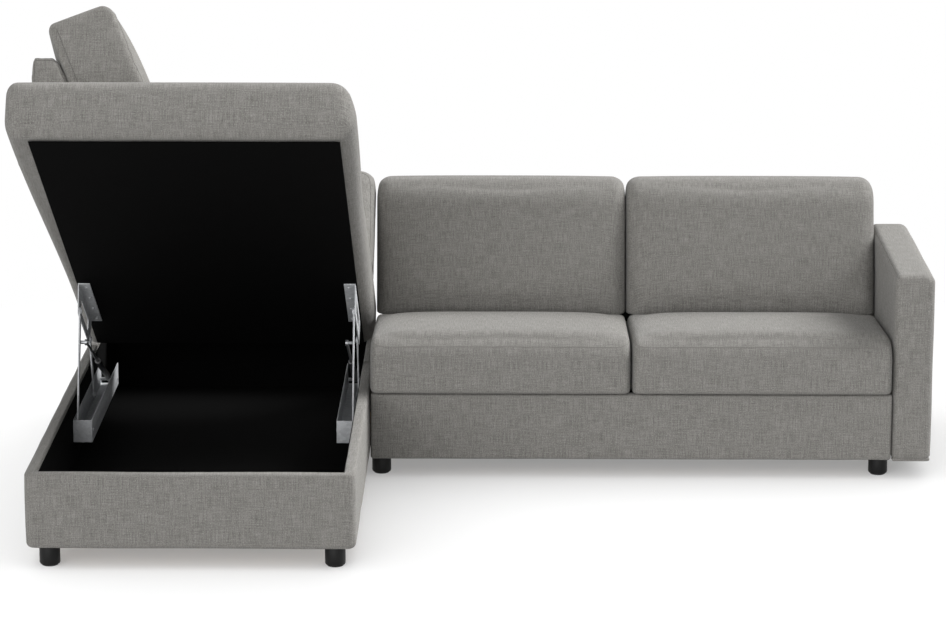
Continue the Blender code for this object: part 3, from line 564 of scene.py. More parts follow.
def laid_on(mesh, path):
    """A path moved onto the nearest places of a mesh, with the normals there."""
    tree = BVHTree.FromPolygons([v.co for v in mesh.vertices], [p.vertices for p in mesh.polygons])
    found = [tree.find_nearest(place) for place in path]
    return np.array([hit[0] for hit in found]), np.array([hit[1] for hit in found])


class Wiring:
    """Adds nodes to a tree; an input takes a plain value or another node's socket."""

    def __init__(self, tree):
        self.tree = tree

    def join(self, value, socket):
        """Feed a socket from another node's socket, or set its plain value."""
        if isinstance(value, bpy.types.NodeSocket):
            self.tree.links.new(value, socket)
        else:
            socket.default_value = value

    def node(self, kind, inputs=None, **settings):
        made = self.tree.nodes.new(kind)
        for key, value in settings.items():
            setattr(made, key, value)
        for key, value in (inputs or {}).items():
            self.join(value, made.inputs[key])
        return made

    def feed(self, **values):
        """Feed the shader's inputs, with their names in lower case and underscores."""
        shader = self.tree.nodes["Principled BSDF"]
        sockets = {socket.name.lower().replace(" ", "_"): socket for socket in shader.inputs}
        for key, value in values.items():
            self.join(value, sockets[key])

    def place(self):
        """The piece's own coordinates."""
        return self.node("ShaderNodeTexCoord").outputs["Object"]

    def maths(self, operation, *values):
        return self.node("ShaderNodeMath", dict(enumerate(values)), operation=operation).outputs[0]

    def sum(self, first, second):
        return self.maths("ADD", first, second)

    def times(self, first, second):
        return self.maths("MULTIPLY", first, second)

    def sine(self, value):
        return self.maths("SINE", value)

    def scaled(self, vector, scale):
        return self.node("ShaderNodeVectorMath", {0: vector, 1: scale}, operation="MULTIPLY").outputs[0]

    def moved(self, vector, shift):
        return self.node("ShaderNodeVectorMath", {0: vector, 1: shift}, operation="ADD").outputs[0]

    def noise(self, vector, scale=1.0, detail=2.0, flat=False):
        return self.node("ShaderNodeTexNoise", {"Vector": vector, "Scale": scale, "Detail": detail},
                         noise_dimensions="2D" if flat else "3D").outputs[0]

    def spread(self, value, low, high):
        """A value between low and high, stretched to 0 to 1."""
        return self.node("ShaderNodeMapRange", {0: value, 1: low, 2: high}).outputs[0]

    def mixed(self, share, first, second):
        """A colour between two others, each a socket or its linear red, green and blue."""
        made = self.node("ShaderNodeMix", data_type="RGBA")
        share_in, *colours_in = [socket for socket in made.inputs if socket.enabled]
        self.join(share, share_in)
        for colour, socket in zip((first, second), colours_in):
            plain = not isinstance(colour, bpy.types.NodeSocket)
            self.join((*colour, 1.0) if plain else colour, socket)
        return [socket for socket in made.outputs if socket.enabled][0]

    def bump(self, height, strength, distance):
        inputs = {"Height": height, "Strength": strength, "Distance": distance}
        return self.node("ShaderNodeBump", inputs).outputs[0]


def material_of(pattern):
    """Mark a recipe that wires a shader, so that its material is made once under its name.

    pattern: the material's name, in which {0} stands for the first setting that the recipe is given.
    """

    def mark(recipe):
        @functools.wraps(recipe)
        def material(*settings):
            name = pattern.format(*settings)
            made = bpy.data.materials.get(name)
            if made is None:
                made = bpy.data.materials.new(name)
                made.use_nodes = True
                recipe(Wiring(made.node_tree), *settings)
            return made

        return material

    return mark


@material_of("melange_weave")
def woven_fabric(w, look):
    """Melange upholstery: crossing yarns, thicker slubs both ways and a slow cloudiness."""
    uv = w.node("ShaderNodeUVMap", uv_map=WEAVE_MAP).outputs[0]
    drift = w.node("ShaderNodeTexNoise", {"Vector": uv, "Scale": 60.0, "Detail": 1.0}, noise_dimensions="2D")
    cloth = w.moved(uv, w.scaled(drift.outputs[1], (0.002, 0.002, 0.0)))
    wide, long = 1 / look.slub, 1 / look.slub_length

    def streaks(across, along, start, detail=1.0):
        """Noise at two scales, across and along the warp, from a start of its own."""
        grain = w.moved(w.scaled(cloth, (across, along, 1.0)), (*start, 0.0))
        return w.noise(grain, detail=detail, flat=True)

    warp = streaks(wide, long, (0.0, 0.0), 2.0)
    weft = streaks(long, wide, (31.7, 8.3), 2.0)
    fleck = streaks(wide * 1.3, wide * 0.5, (5.1, 77.0))
    spark = streaks(wide * 0.8, wide * 0.8, (63.0, 19.0))
    cloud = w.noise(uv, 22.0, 3.0, flat=True)
    tone = 0.5
    for value, weight in ((warp, 0.72), (weft, 0.56), (fleck, 0.62), (cloud, 0.14)):
        tone = w.sum(tone, w.times(w.sum(value, -0.5), weight))
    ground = w.mixed(w.spread(tone, 0.10, 0.90), look.dark, look.light)
    pale = w.times(w.spread(spark, 0.60, 0.78), 0.4)
    split = w.node("ShaderNodeSeparateXYZ", {0: cloth}).outputs
    turn = 2 * math.pi / look.yarn
    knots = w.times(w.sine(w.times(split[0], turn)), w.sine(w.times(split[1], turn)))
    height = w.sum(w.times(knots, 0.35), w.sum(warp, weft))
    w.feed(base_color=w.mixed(pale, ground, look.fleck), normal=w.bump(height, 0.24, 0.0012),
           roughness=0.92, specular_ior_level=0.2, sheen_weight=0.12, sheen_roughness=0.5)


@material_of("{0}")
def plain_cloth(w, name, colour, roughness=0.9):
    """A thread or folded edge of the given name: one dyed colour with a fine fibre unevenness."""
    fibre = w.noise(w.place(), 900.0, 2.0)
    shade = [level * 0.72 for level in colour]
    w.feed(base_color=w.mixed(fibre, shade, colour), roughness=roughness,
           normal=w.bump(fibre, 0.3, 0.0005), specular_ior_level=0.2)


@material_of("black_lining_felt")
def lining_felt(w):
    """Black non-woven lining of matted fibres, coloured darker than the felt itself as painted shade inside
    the box and under the top.
    """
    place = w.place()
    fibre = w.noise(place, 420.0, 4.0)
    cloud = w.noise(place, 11.0, 3.0)
    tone = w.sum(w.times(fibre, 0.6), w.times(cloud, 0.4))
    # Near-black on purpose: the felt's own black, darkened further as painted shade
    w.feed(base_color=w.mixed(tone, shown_colour(3, 3, 3), shown_colour(7, 7, 7)),
           roughness=0.95, specular_ior_level=0.05, normal=w.bump(fibre, 0.4, 0.0008))


@material_of("black_leg_plastic")
def moulded_plastic(w):
    """Black leg plastic with a fine moulded grain, a little paler where it is scuffed."""
    place = w.place()
    grain = w.noise(place, 1500.0, 2.0)
    scuff = w.noise(place, 36.0, 5.0)
    rubbed = w.spread(scuff, 0.45, 0.75)
    w.feed(base_color=w.mixed(rubbed, shown_colour(5, 5, 5), shown_colour(11, 11, 11)),
           roughness=w.sum(0.38, w.times(scuff, 0.22)), specular_ior_level=0.25,
           normal=w.bump(grain, 0.18, 0.0003))


@material_of("zinc_steel")
def zinc_steel(w):
    """Zinc-plated sheet: faint crystals, a rolled direction and rubbed places."""
    place = w.place()
    crystal = w.node("ShaderNodeTexVoronoi", {"Vector": place, "Scale": 140.0}).outputs["Color"]
    crystal = w.node("ShaderNodeSeparateColor", {0: crystal}).outputs[0]
    rolled = w.noise(w.scaled(place, (900.0, 22.0, 900.0)), 1.0, 3.0)
    rubbed = w.noise(place, 25.0, 4.0)
    tone = w.sum(w.times(crystal, 0.35), w.sum(w.times(rolled, 0.4), w.times(rubbed, 0.35)))
    w.feed(base_color=w.mixed(tone, shown_colour(164, 166, 169), shown_colour(212, 214, 216)),
           metallic=0.1, roughness=w.sum(0.55, w.times(rubbed, 0.2)), specular_ior_level=0.25,
           normal=w.bump(rolled, 0.12, 0.0004))


@material_of("bright_rod")
def bright_rod(w):
    """Ground and plated rod of a gas spring."""
    ground = w.noise(w.scaled(w.place(), (40.0, 700.0, 700.0)), 1.0, 2.0)
    w.feed(base_color=w.mixed(ground, shown_colour(128, 130, 133), shown_colour(168, 169, 171)),
           metallic=0.8, roughness=w.sum(0.26, w.times(ground, 0.14)))


@material_of("spring_lacquer")
def spring_lacquer(w):
    """Satin black lacquer of a gas spring's tube."""
    skin = w.noise(w.place(), 520.0, 2.0)
    w.feed(base_color=w.mixed(skin, shown_colour(26, 26, 27), shown_colour(38, 38, 40)),
           roughness=w.sum(0.30, w.times(skin, 0.12)), normal=w.bump(skin, 0.12, 0.0003))


@material_of("birch_along_{0}")
def birch_wood(w, axis):
    """Pale birch with fine grain along x or y."""
    place = w.place()

    def grain(across, along, detail):
        """Noise drawn out along the wood."""
        return w.noise(w.scaled(place, [along if name == axis else across for name in "xyz"]), 1.0, detail)

    rings = grain(38.0, 2.2, 4.0)
    pores = grain(620.0, 16.0, 2.0)
    tone = w.spread(w.sum(w.times(rings, 0.75), w.times(pores, 0.35)), 0.3, 0.8)
    w.feed(base_color=w.mixed(tone, shown_colour(186, 151, 108), shown_colour(219, 190, 150)),
           roughness=w.sum(0.5, w.times(pores, 0.2)), normal=w.bump(pores, 0.2, 0.0004))


def tree_of(name, **sizes):
    """Mark a plan that wires a geometry tree, so that its tree is made once under its name.

    sizes: the tree's named inputs, besides its geometry and material, and their kinds. A plan is given the
    wiring and the inputs, and hands back the geometry that the tree realizes and dresses.
    """

    def mark(plan):
        @functools.wraps(plan)
        def tree():
            made = bpy.data.node_groups.get(name)
            if made is None:
                made = bpy.data.node_groups.new(name, "GeometryNodeTree")
                made.interface.new_socket("Geometry", in_out="INPUT", socket_type="NodeSocketGeometry")
                for label, kind in {**sizes, "Material": "NodeSocketMaterial"}.items():
                    made.interface.new_socket(label, in_out="INPUT", socket_type=kind)
                made.interface.new_socket("Geometry", in_out="OUTPUT", socket_type="NodeSocketGeometry")
                w = Wiring(made)
                source = w.node("NodeGroupInput").outputs
                whole = w.node("GeometryNodeRealizeInstances", {"Geometry": plan(w, source)}).outputs[0]
                inputs = {"Geometry": whole, "Material": source["Material"]}
                dressed = w.node("GeometryNodeSetMaterial", inputs)
                w.node("NodeGroupOutput", {"Geometry": dressed.outputs[0]})
            return made

        return tree

    return mark


@tree_of("seam_edge", Radius="NodeSocketFloat")
def seam_tree(w, source):
    """A folded edge along a path: a thin round section swept along it."""
    path = w.node("GeometryNodeMeshToCurve", {"Mesh": source["Geometry"]}).outputs[0]
    inputs = {"Resolution": 6, "Radius": source["Radius"]}
    ring = w.node("GeometryNodeCurvePrimitiveCircle", inputs).outputs[0]
    swept = w.node("GeometryNodeCurveToMesh", {"Curve": path, "Profile Curve": ring, "Fill Caps": True})
    return swept.outputs[0]


@tree_of("stitch_row", Pitch="NodeSocketFloat", Length="NodeSocketFloat", Radius="NodeSocketFloat")
def stitch_tree(w, source):
    """Stitches at an even pitch along a path, each a short length of thread."""
    path = w.node("GeometryNodeMeshToCurve", {"Mesh": source["Geometry"]}).outputs[0]
    even = w.node("GeometryNodeResampleCurve", {"Curve": path, "Length": source["Pitch"]}, mode="LENGTH")
    thread = w.node("GeometryNodeMeshCylinder",
                    {"Vertices": 6, "Radius": source["Radius"], "Depth": source["Length"]})
    tangent = w.node("GeometryNodeInputTangent").outputs[0]
    along = w.node("FunctionNodeAlignRotationToVector", {"Vector": tangent}, axis="Z")
    sewn = w.node("GeometryNodeInstanceOnPoints", {"Points": even.outputs[0], "Instance": thread.outputs[0],
                                                   "Rotation": along.outputs[0]})
    return sewn.outputs[0]


@tree_of("copies_at_points", Shape="NodeSocketObject")
def copies_tree(w, source):
    """A copy of one shape at each point, its own z turned to the point's marked direction."""
    shape = w.node("GeometryNodeObjectInfo", {"Object": source["Shape"]}).outputs["Geometry"]
    axis = w.node("GeometryNodeInputNamedAttribute", {"Name": AXIS_MARK}, data_type="FLOAT_VECTOR")
    turn = w.node("FunctionNodeAlignRotationToVector", {"Vector": axis.outputs["Attribute"]}, axis="Z")
    placed = w.node("GeometryNodeInstanceOnPoints", {"Points": source["Geometry"], "Instance": shape,
                                                     "Rotation": turn.outputs[0]})
    return placed.outputs[0]


def run_tree(name, mesh, tree, **values):
    """The plain mesh that a tree makes of a mesh, with its named inputs set."""
    carrier = link(name + "_plan", mesh)
    modifier = carrier.modifiers.new("nodes", "NODES")
    modifier.node_group = tree
    for item in tree.interface.items_tree:
        key = item.name.lower()
        if item.in_out == "INPUT" and key in values:
            modifier[item.identifier] = values[key]
    result = settled_mesh(carrier, name)
    carrier.modifiers.remove(modifier)
    drop(carrier)
    if not result.polygons:
        raise RuntimeError(f"{name} came out empty")
    return result


def path_mesh(name, paths):
    """Polylines as a mesh of edges; each path is (points, closed)."""
    points, edges = [], []
    for path, closed in paths:
        first = len(points)
        points += [tuple(p) for p in path]
        last = len(points) - 1
        edges += [(i, i + 1) for i in range(first, last)]
        if closed:
            edges.append((last, first))
    mesh = bpy.data.meshes.new(name)
    mesh.from_pydata(points, edges, [])
    return mesh


def point_mesh(name, places, axes):
    """Points with a marked direction each."""
    mesh = bpy.data.meshes.new(name)
    mesh.from_pydata([tuple(p) for p in places], [], [])
    marks = mesh.attributes.new(AXIS_MARK, "FLOAT_VECTOR", "POINT")
    marks.data.foreach_set("vector", np.asarray(axes, np.float32).ravel())
    return mesh


def placed_copies(name, shape_mesh, places, axes, material, body, stands_for=()):
    """One mesh of equal small pieces, riding on a body."""
    shape = link(name + "_shape", shape_mesh)
    mesh = run_tree(name, point_mesh(name + "_points", places, axes), copies_tree(), shape=shape,
                    material=material)
    drop(shape)
    return seat_piece(name, mesh, material, body, stands_for)


def seat_piece(name, mesh, material, body, stands_for=()):
    """Link a finished mesh, dress it and let it ride on its body."""
    piece = link(name, mesh)
    mesh.materials.clear()
    mesh.materials.append(material)
    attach(piece, body)
    if stands_for:
        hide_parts(*stands_for)
    return piece


def sew(name, mesh, paths, turn, body, context, fold):
    """Folded edges and stitches of a cover's seams, laid on its finished surface.

    paths: (points, closed) in the cover's upright place. fold: which cloth the folded edges are of.
    """
    cover, look = context.scene.sofa_cover, context.scene.sofa_fabric
    sunk, stitch_share, thread_roughness = 0.35, 0.62, 0.6
    edges, threads = [], []
    for path, closed in paths:
        places, normals = laid_on(mesh, path)
        edges.append((places - normals * cover.cord * sunk, closed))
        threads.append((places + normals * (cover.cord * (1 - sunk)), closed))
    # The dark fold is painted shade down in the seam's groove; the pale fold takes the thread's colour
    edge_cloth = plain_cloth(fold, {"seam_fold": look.seam, "pale_fold": look.thread}[fold])
    thread = plain_cloth("sewing_thread", look.thread, thread_roughness)
    edge = run_tree(name + "_edge", path_mesh(name + "_edge_path", edges), seam_tree(), radius=cover.cord,
                    material=edge_cloth)
    stitches = run_tree(name + "_stitches", path_mesh(name + "_stitch_path", threads), stitch_tree(),
                        pitch=cover.stitch, length=cover.stitch * stitch_share, radius=cover.thread,
                        material=thread)
    for part, cloth in ((edge, edge_cloth), (stitches, thread)):
        part.transform(turn)
        seat_piece(part.name, part, cloth, body)


def dress_cover(name, mesh, seams, turn, stands_for, context, depth, seed, fold="seam_fold"):
    """Press a cover's seams in, sew them, lay its weave and seat it in place of its nodes.

    depth: how deep the seams pull the cover in.
    """
    press_seams(mesh, [path for path, _ in seams], depth, context.scene.sofa_cover.seam_width, seed)
    body = BODY_OF[stands_for[0]]
    if seams:
        sew(name, mesh, seams, turn, body, context, fold)
    mesh.transform(turn)
    weave_map(mesh, turn)
    mesh.shade_smooth()
    fabric = woven_fabric(context.scene.sofa_fabric)
    return seat_piece(name, mesh, fabric, body, stands_for)


def cover_mesh(name, points, quads, context, seed, wave=0.24):
    """A cover with a slow unevenness along its normals, at about the given wavelength."""
    mesh = mesh_of(name, points, quads)
    points, normals = coords(mesh), coords(mesh, "normal")
    height = ripple(points, context.scene.sofa_cover.ripple, wave, seed)
    set_coords(mesh, points + normals * height[:, None])
    return mesh


class SofaOperator(bpy.types.Operator):
    """Shared settings of the operators that make the sofa bed."""

    bl_options = {"REGISTER", "UNDO"}

    def execute(self, context):
        self.make(context)
        return {"FINISHED"}


class SOFA_OT_chaise_base(SofaOperator):
    """Wrap the chaise's storage box in one fabric cover with a rolled rim"""

    bl_idname = "sofa.chaise_base"
    bl_label = "Chaise Base Cover"
    nodes = ("chaise_front_wall", "chaise_left_wall", "chaise_right_wall", "chaise_rear_wall")
    corner, least_corner, corner_steps = 0.026, 0.003, 8
    inner_rim, rim, hem, arc_steps = 0.004, 0.009, 0.013, 5
    inner_rows, outer_rows = 12, 26
    # Width and depth that the points along the sides are counted from, and their step next to other covers'
    counted_size, coarseness = (0.87, 1.68), 1.4
    swell_share = 0.4
    seam_foot, seam_head = 0.012, 0.004

    def make(self, context):
        cover = context.scene.sofa_cover
        boxes = [upright_box(node) for node in self.nodes]
        low = np.min([box[0] for box in boxes], axis=0)
        high = np.max([box[1] for box in boxes], axis=0)
        left_low, left_high = upright_box("chaise_left_wall")
        wall = left_high[0] - left_low[0]
        counts = [math.ceil(length / (cover.step * self.coarseness)) for length in self.counted_size]
        rings = []
        for inset, z in self.profile(wall, low[2], high[2], cover.padding * self.swell_share):
            width, depth, _ = high - low - 2 * inset
            radius = max(self.corner - inset, self.least_corner)
            flat = self.ring(corner_arcs(width, depth, radius, self.corner_steps), counts) + low[:2] + inset
            rings.append(np.column_stack([flat, np.full(len(flat), z)]))
        rings = np.array(rings)
        index = np.arange(rings[:, :, 0].size).reshape(rings.shape[:2])
        ahead, beside = np.roll(index, -1, 0), np.roll(index, -1, 1)
        quads = np.stack([index, beside, np.roll(ahead, -1, 1), ahead], -1).reshape(-1, 4)
        mesh = cover_mesh("chaise_base_cover", rings.reshape(-1, 3), quads[:, ::-1], context, 3)
        seams = []
        for x in (low[0] + self.corner, high[0] - self.corner):
            ends = ((x, high[1], low[2] + self.seam_foot), (x, high[1], high[2] - self.seam_head))
            seams.append((resampled(ends), False))
        dress_cover("chaise_base_cover", mesh, seams, LEVEL, self.nodes, context, cover.seam_depth, 31)

    def profile(self, wall, foot, top, swell):
        """Inset and height of the cover's section, from its inner foot over the rim to its hem."""
        arc = [math.pi / 2 * k / self.arc_steps for k in range(self.arc_steps + 1)]
        bend, low, high = top - self.inner_rim, foot + self.hem, top - self.rim
        section = [(wall, z) for z in np.linspace(foot, bend, self.inner_rows)]
        for a in arc[1:]:
            section.append((wall - self.inner_rim * (1 - math.cos(a)), bend + self.inner_rim * math.sin(a)))
        section += [(self.rim * (1 - math.sin(a)), high + self.rim * math.cos(a)) for a in arc]
        for z in np.linspace(high, low, self.outer_rows)[1:]:
            share = (z - low) / (high - low)
            section.append((-swell * 4 * share * (1 - share), z))
        section += [(self.hem * (1 - math.cos(a)), low - self.hem * math.sin(a)) for a in arc[1:]]
        return section

    def ring(self, arcs, counts):
        """Points round the box, with as many at each corner and side for every ring."""
        points = []
        for turn, arc in enumerate(arcs):
            side = np.linspace(arc[-1], arcs[(turn + 1) % 4][0], counts[(turn + 1) % 2] + 1)
            points += [arc, side[1:-1]]
        return np.concatenate(points)


class SOFA_OT_rests(SofaOperator):
    """Cover the padded rests behind the cushions"""

    bl_idname = "sofa.rests"
    bl_label = "Rest Covers"
    rests = (("side_backrest", False, LID), ("rear_backrest", True, LID), ("back_frame", True, LEVEL))
    radii = Sides(0.016, 0.030, 0.034, 0.014, 0.004, 0.030)
    outer_swell = {"side_backrest": 0.013}
    lid_gap = 0.010
    seam_shares = ((0.03, 0.03), (0.03, 0.95), (0.94, 0.95), (0.94, 0.03))
    top_slice, top_rounding = 0.0005, 0.010

    def make(self, context):
        for seed, (node, along_x, turn) in enumerate(self.rests, 40):
            self.rest(node, along_x, turn, seed, context)

    def rest(self, node, along_x, turn, seed, context):
        """Cover one rest, with a seam round each of its ends."""
        cover = context.scene.sofa_cover
        low, high = upright_box(node, turn)
        top_depth = self.top_depth(node, along_x, turn)
        if along_x:
            front, rear, top_front = low[1], high[1], high[1] - top_depth
            run = (low[0], high[0] - (self.lid_gap if turn is LID else 0.0))
        else:
            front, rear, top_front = high[0], low[0], low[0] + top_depth
            run = (low[1], high[1])
        section = [(front, low[2]), (rear, low[2]), (rear, high[2]), (top_front, high[2])]
        size = section_size(section, run)
        swell = cover.padding
        swells = Sides(front=swell * 0.4, rear=self.outer_swell.get(node, swell), top=swell * 0.5)
        points, quads = soft_block((0, 0, 0), size, self.radii, cover.step)
        points = to_section(pad_out(points, (0, 0, 0), size, swells), size, section, run, along_x)
        mesh = cover_mesh(node + "_cover", points, quads, context, seed)
        seams = []
        for end in (0.0, 1.0):
            edge = np.array([(end, *share) for share in self.seam_shares])
            seams.append((resampled(to_section(edge, (1, 1, 1), section, run, along_x)), False))
        piece = dress_cover(node + "_cover", mesh, seams, turn, (node,), context, cover.seam_depth, seed)

    def top_depth(self, node, along_x, turn):
        """Depth of a rest's flat top, with the rounding in front of it and behind it."""
        points = node_points(node) @ np.array(turn.to_3x3())
        upper = points[points[:, 2] > points[:, 2].max() - self.top_slice]
        return np.ptp(upper[:, 1 if along_x else 0]) + 2 * self.top_rounding


class SOFA_OT_sofa_shell(SofaOperator):
    """Cover the arm, the front panel and the rear panel"""

    bl_idname = "sofa.sofa_shell"
    bl_label = "Arm And Panel Covers"
    arm_radii = Sides(0.018, 0.028, 0.028, 0.030, 0.012, 0.024)
    front_radii = Sides(0.007, 0.007, 0.009, 0.004, 0.008, 0.006)
    rear_radii = Sides(0.006, 0.006, 0.004, 0.008, 0.008, 0.008)
    seam_inset, seam_end, seam_depth = 0.004, 0.03, 0.0016
    hem_radii = Sides(0.006, 0.012, 0.006, 0.006, 0.004, 0.003)
    hem_inset, hem_front, hem_rear, hem_drop, hem_rise, hem_step = 0.003, 0.005, 0.029, 0.0042, 0.006, 0.003

    def make(self, context):
        swell = context.scene.sofa_cover.padding
        low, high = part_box("sofa_arm")
        inner, top = low.x + self.seam_inset, high.z - self.seam_inset
        seam = [(inner, high.y - self.seam_end, top), (inner, low.y + self.seam_end, top)]
        arm_swells = Sides(right=swell, front=swell * 0.8, rear=swell, top=swell * 0.7)
        self.panel("sofa_arm", self.arm_radii, arm_swells, [seam], 51, context)
        self.arm_hem(context)
        self.panel("front_panel", self.front_radii, Sides(front=swell * 0.5), [], 52, context)
        self.panel("sofa_rear_panel", self.rear_radii, Sides(rear=swell * 0.5), [], 53, context)

    def arm_hem(self, context):
        """Folded hem of the cover that shows below the arm's front."""
        low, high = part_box("sofa_arm")
        first = Vector((low.x + self.hem_inset, low.y + self.hem_front, low.z - self.hem_drop))
        last = Vector((high.x - self.hem_inset, low.y + self.hem_rear, low.z + self.hem_rise))
        mesh = mesh_of("arm_hem", *soft_block(first, last, self.hem_radii, self.hem_step))
        weave_map(mesh)
        mesh.shade_smooth()
        seat_piece("arm_hem", mesh, woven_fabric(context.scene.sofa_fabric), "base")

    def panel(self, node, radii, swells, seams, seed, context):
        """Cover one panel with a padded block, sewn along the given paths."""
        low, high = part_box(node)
        points, quads = soft_block(low, high, radii, context.scene.sofa_cover.step)
        mesh = cover_mesh(node + "_cover", pad_out(points, low, high, swells), quads, context, seed)
        paths = [(resampled(path), False) for path in seams]
        dress_cover(node + "_cover", mesh, paths, LEVEL, (node,), context, self.seam_depth, seed)


class CushionPlan:
    """What one loose cushion or pad is drawn from, in its upright place.

    form: reshapes the block before it is bent to its section. squeeze: how far the ends, the rear and the
    foot are pressed flat. hold: how firmly the filling's push is held back at these.
    """

    def __init__(self, node, section, run, radii, swells, *, seams, step, fill, squeeze, along_x=True,
                 turn=LEVEL, form=None, hold=(0.85, 0.85, 0.85)):
        self.node, self.section, self.run, self.along_x, self.turn = node, section, run, along_x, turn
        self.seams, self.fill, self.squeeze, self.hold = seams, fill, np.array(squeeze), np.array(hold)
        self.size = np.array(section_size(section, run))
        points, self.quads = soft_block((0, 0, 0), self.size, radii, step)
        points = pad_out(points, (0, 0, 0), self.size, swells)
        if form:
            points = form(points, self.size)
        self.start = to_section(points, self.size, section, run, along_x)
        share = points / self.size
        self.low, self.high = share.min(0), share.max(0)

    def freedom(self, outward):
        """How freely the filling may push each point: little where the cover lies on its neighbours."""
        along = outward[:, 0] if self.along_x else outward[:, 1]
        rearward = outward[:, 1] if self.along_x else -outward[:, 0]
        facing = np.stack([np.abs(along), np.clip(rearward, 0, 1), np.clip(-outward[:, 2], 0, 1)], 1)
        return 1 - (self.hold * facing ** 2).max(1)

    def fitted(self, points):
        """The filled cover stretched to its place, and flat at its ends, its rear and its foot."""
        share = from_section(points, self.section, self.run, self.along_x)
        ends, rear, foot = self.squeeze / self.size
        for axis, (near, far) in enumerate(((ends, ends), (0.0, rear), (foot, 0.0))):
            low, high = self.low[axis], self.high[axis]
            first, last = share[:, axis].min(), share[:, axis].max()
            level = low - near + (share[:, axis] - first) / (last - first) * (high - low + near + far)
            if far:
                level = eased_stop(level, high, 2 * far)
            if near:
                level = -eased_stop(-level, -low, 2 * near)
            share[:, axis] = low + (level - level.min()) / np.ptp(level) * (high - low)
        return to_section(share, (1, 1, 1), self.section, self.run, self.along_x)


class SOFA_OT_cushions(SofaOperator):
    """Fill the seat pad and the loose cushions, and finish their covers"""

    bl_idname = "sofa.cushions"
    bl_label = "Cushions"

    pad_radii = Sides(0.026, 0.055, 0.036, 0.022, 0.060, 0.044)
    pad_swells = Sides(front=0.008, rear=0.001, top=0.012)
    pad_flare = {"left": 0.029, "right": 0.008, "shoulder": 0.022}
    pad_hold = (0.95, 0.0, 0.0)
    pad_seam_end, pad_seam_depth = 0.01, 0.0065

    side_radii = Sides(0.022, 0.040, 0.036, 0.024, 0.030, 0.034)
    side_swells = Sides(left=0.004, right=0.001, front=0.030, rear=0.012, top=0.010)
    # Depth at the foot, and the upper corners from the rest's outer side and the cushion's foot
    side_depth, side_rear_corner, side_front_corner = 0.205, (0.033, 0.2606), (0.206, 0.3316)

    back_radii = Sides(0.050, 0.050, 0.070, 0.045, 0.012, 0.066)
    back_swells = Sides(front=0.008, top=0.004)
    rear_swells = Sides(left=0.001, right=0.003, front=0.006, top=0.016)
    back_belly = {"depth": 0.041, "peak": 0.30}
    back_lean_share = 0.93
    seam_inset, seam_heights = 0.030, (0.10, 0.86)

    seat_radii = Sides(0.030, 0.030, 0.085, 0.024, 0.018, 0.060)
    seat_swells = Sides(front=0.006, rear=0.001, top=0.012)
    seat_height = 0.178

    # How far a panel's seam is sunk below its face and set in from its edges, and its corners' radius
    panel_seam = (0.022, 0.014, 0.03)
    seat_seams = {"top": (0.022, 0.006, 0.04), "foot": (0.014, 0.008, 0.03)}
    loose_seam_share, sofa_seam_share = 0.5, 0.2

    # How far a cushion is drawn out past its node's left and right end, to meet its neighbours
    back_reach = {"left": (0.0036, 0.0024), "right": (0.0024, 0.0018)}
    seat_reach = {"left": (0.0028, 0.0018), "right": (0.0018, 0.0008)}

    cloth_quality, cloth_stiffness = 5, 4.0

    def make(self, context):
        form = context.scene.sofa_cushion
        plans = [self.pad_plan(form), self.side_plan(form), self.rear_plan(form)]
        plans += [self.seat_plan(side, form) for side in BOTH_SIDES]
        plans += [self.back_plan(side, form) for side in BOTH_SIDES]
        for seed, (plan, points) in enumerate(zip(plans, self.filled(plans, form)), 70):
            self.finish(plan, points, seed, context)

    def pad_plan(self, form):
        """Seat pad of the chaise, from its lining to the foot of its rests."""
        low, high = upright_box("chaise_seat_pad", LID)
        rest_low, _ = upright_box("side_backrest", LID)
        rear_low, _ = upright_box("rear_cushion", LID)
        foot = upright_box("lid_lining", LID)[1][2] + CLEARANCE
        top = rest_low[2] - CLEARANCE
        section = [(low[1], foot), (high[1], foot), (high[1], top), (low[1], top)]
        seams = []
        for x, y in ((low[0], rest_low[1]), (high[0], rear_low[1])):
            ends = ((x, y, foot + self.pad_seam_end), (x, y, top - self.pad_seam_end))
            seams.append((resampled(ends), False))
        return CushionPlan("chaise_seat_pad", section, (low[0], high[0]), self.pad_radii, self.pad_swells,
                           seams=seams, step=form.pad_step, fill=0.9, squeeze=(0.0, *form.squeeze[1:]),
                           turn=LID, form=functools.partial(flared, **self.pad_flare), hold=self.pad_hold)

    def side_plan(self, form):
        """Loose cushion that lies over the chaise's side rest."""
        low, high = upright_box("side_cushion", LID)
        rest_low, rest_high = upright_box("side_backrest", LID)
        base, foot = rest_high[0] + CLEARANCE, low[2]
        section = [(base + self.side_depth, foot), (base, foot)]
        section += [(rest_low[0] + x, foot + z) for x, z in (self.side_rear_corner, self.side_front_corner)]
        return self.loose_plan("side_cushion", section, (low[1], high[1]), LID, form, along_x=False)

    def rear_plan(self, form):
        """Loose cushion in front of the chaise's rear rest."""
        low, high = upright_box("rear_cushion", LID)
        section = self.leaning(upright_box("rear_backrest", LID)[0][1], low[2], high[2], form)
        return self.loose_plan("rear_cushion", section, (low[0], high[0]), LID, form)

    def back_plan(self, side, form):
        """One of the sofa's two back cushions."""
        node = f"back_cushion_{side}"
        low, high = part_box(node)
        section = self.leaning(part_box("back_frame")[0].y, low.z, high.z, form)
        return self.loose_plan(node, section, self.run(node, self.back_reach[side]), LEVEL, form)

    def seat_plan(self, side, form):
        """One of the sofa's two seat cushions."""
        node = f"seat_cushion_{side}"
        low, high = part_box(node)
        top = low.z + self.seat_height
        section = [(low.y, low.z), (high.y, low.z), (high.y, top - form.seat_fall), (low.y, top)]
        run = self.run(node, self.seat_reach[side])
        seams = [(face_loop(section, run, True, panel, *seam), True)
                 for panel, seam in self.seat_seams.items()]
        return CushionPlan(node, section, run, self.seat_radii, self.seat_swells, seams=seams, step=form.step,
                           fill=0.85, squeeze=form.squeeze)

    def run(self, node, reach):
        """Where a sofa cushion starts and ends along x."""
        low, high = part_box(node)
        return low.x - reach[0], high.x + reach[1]

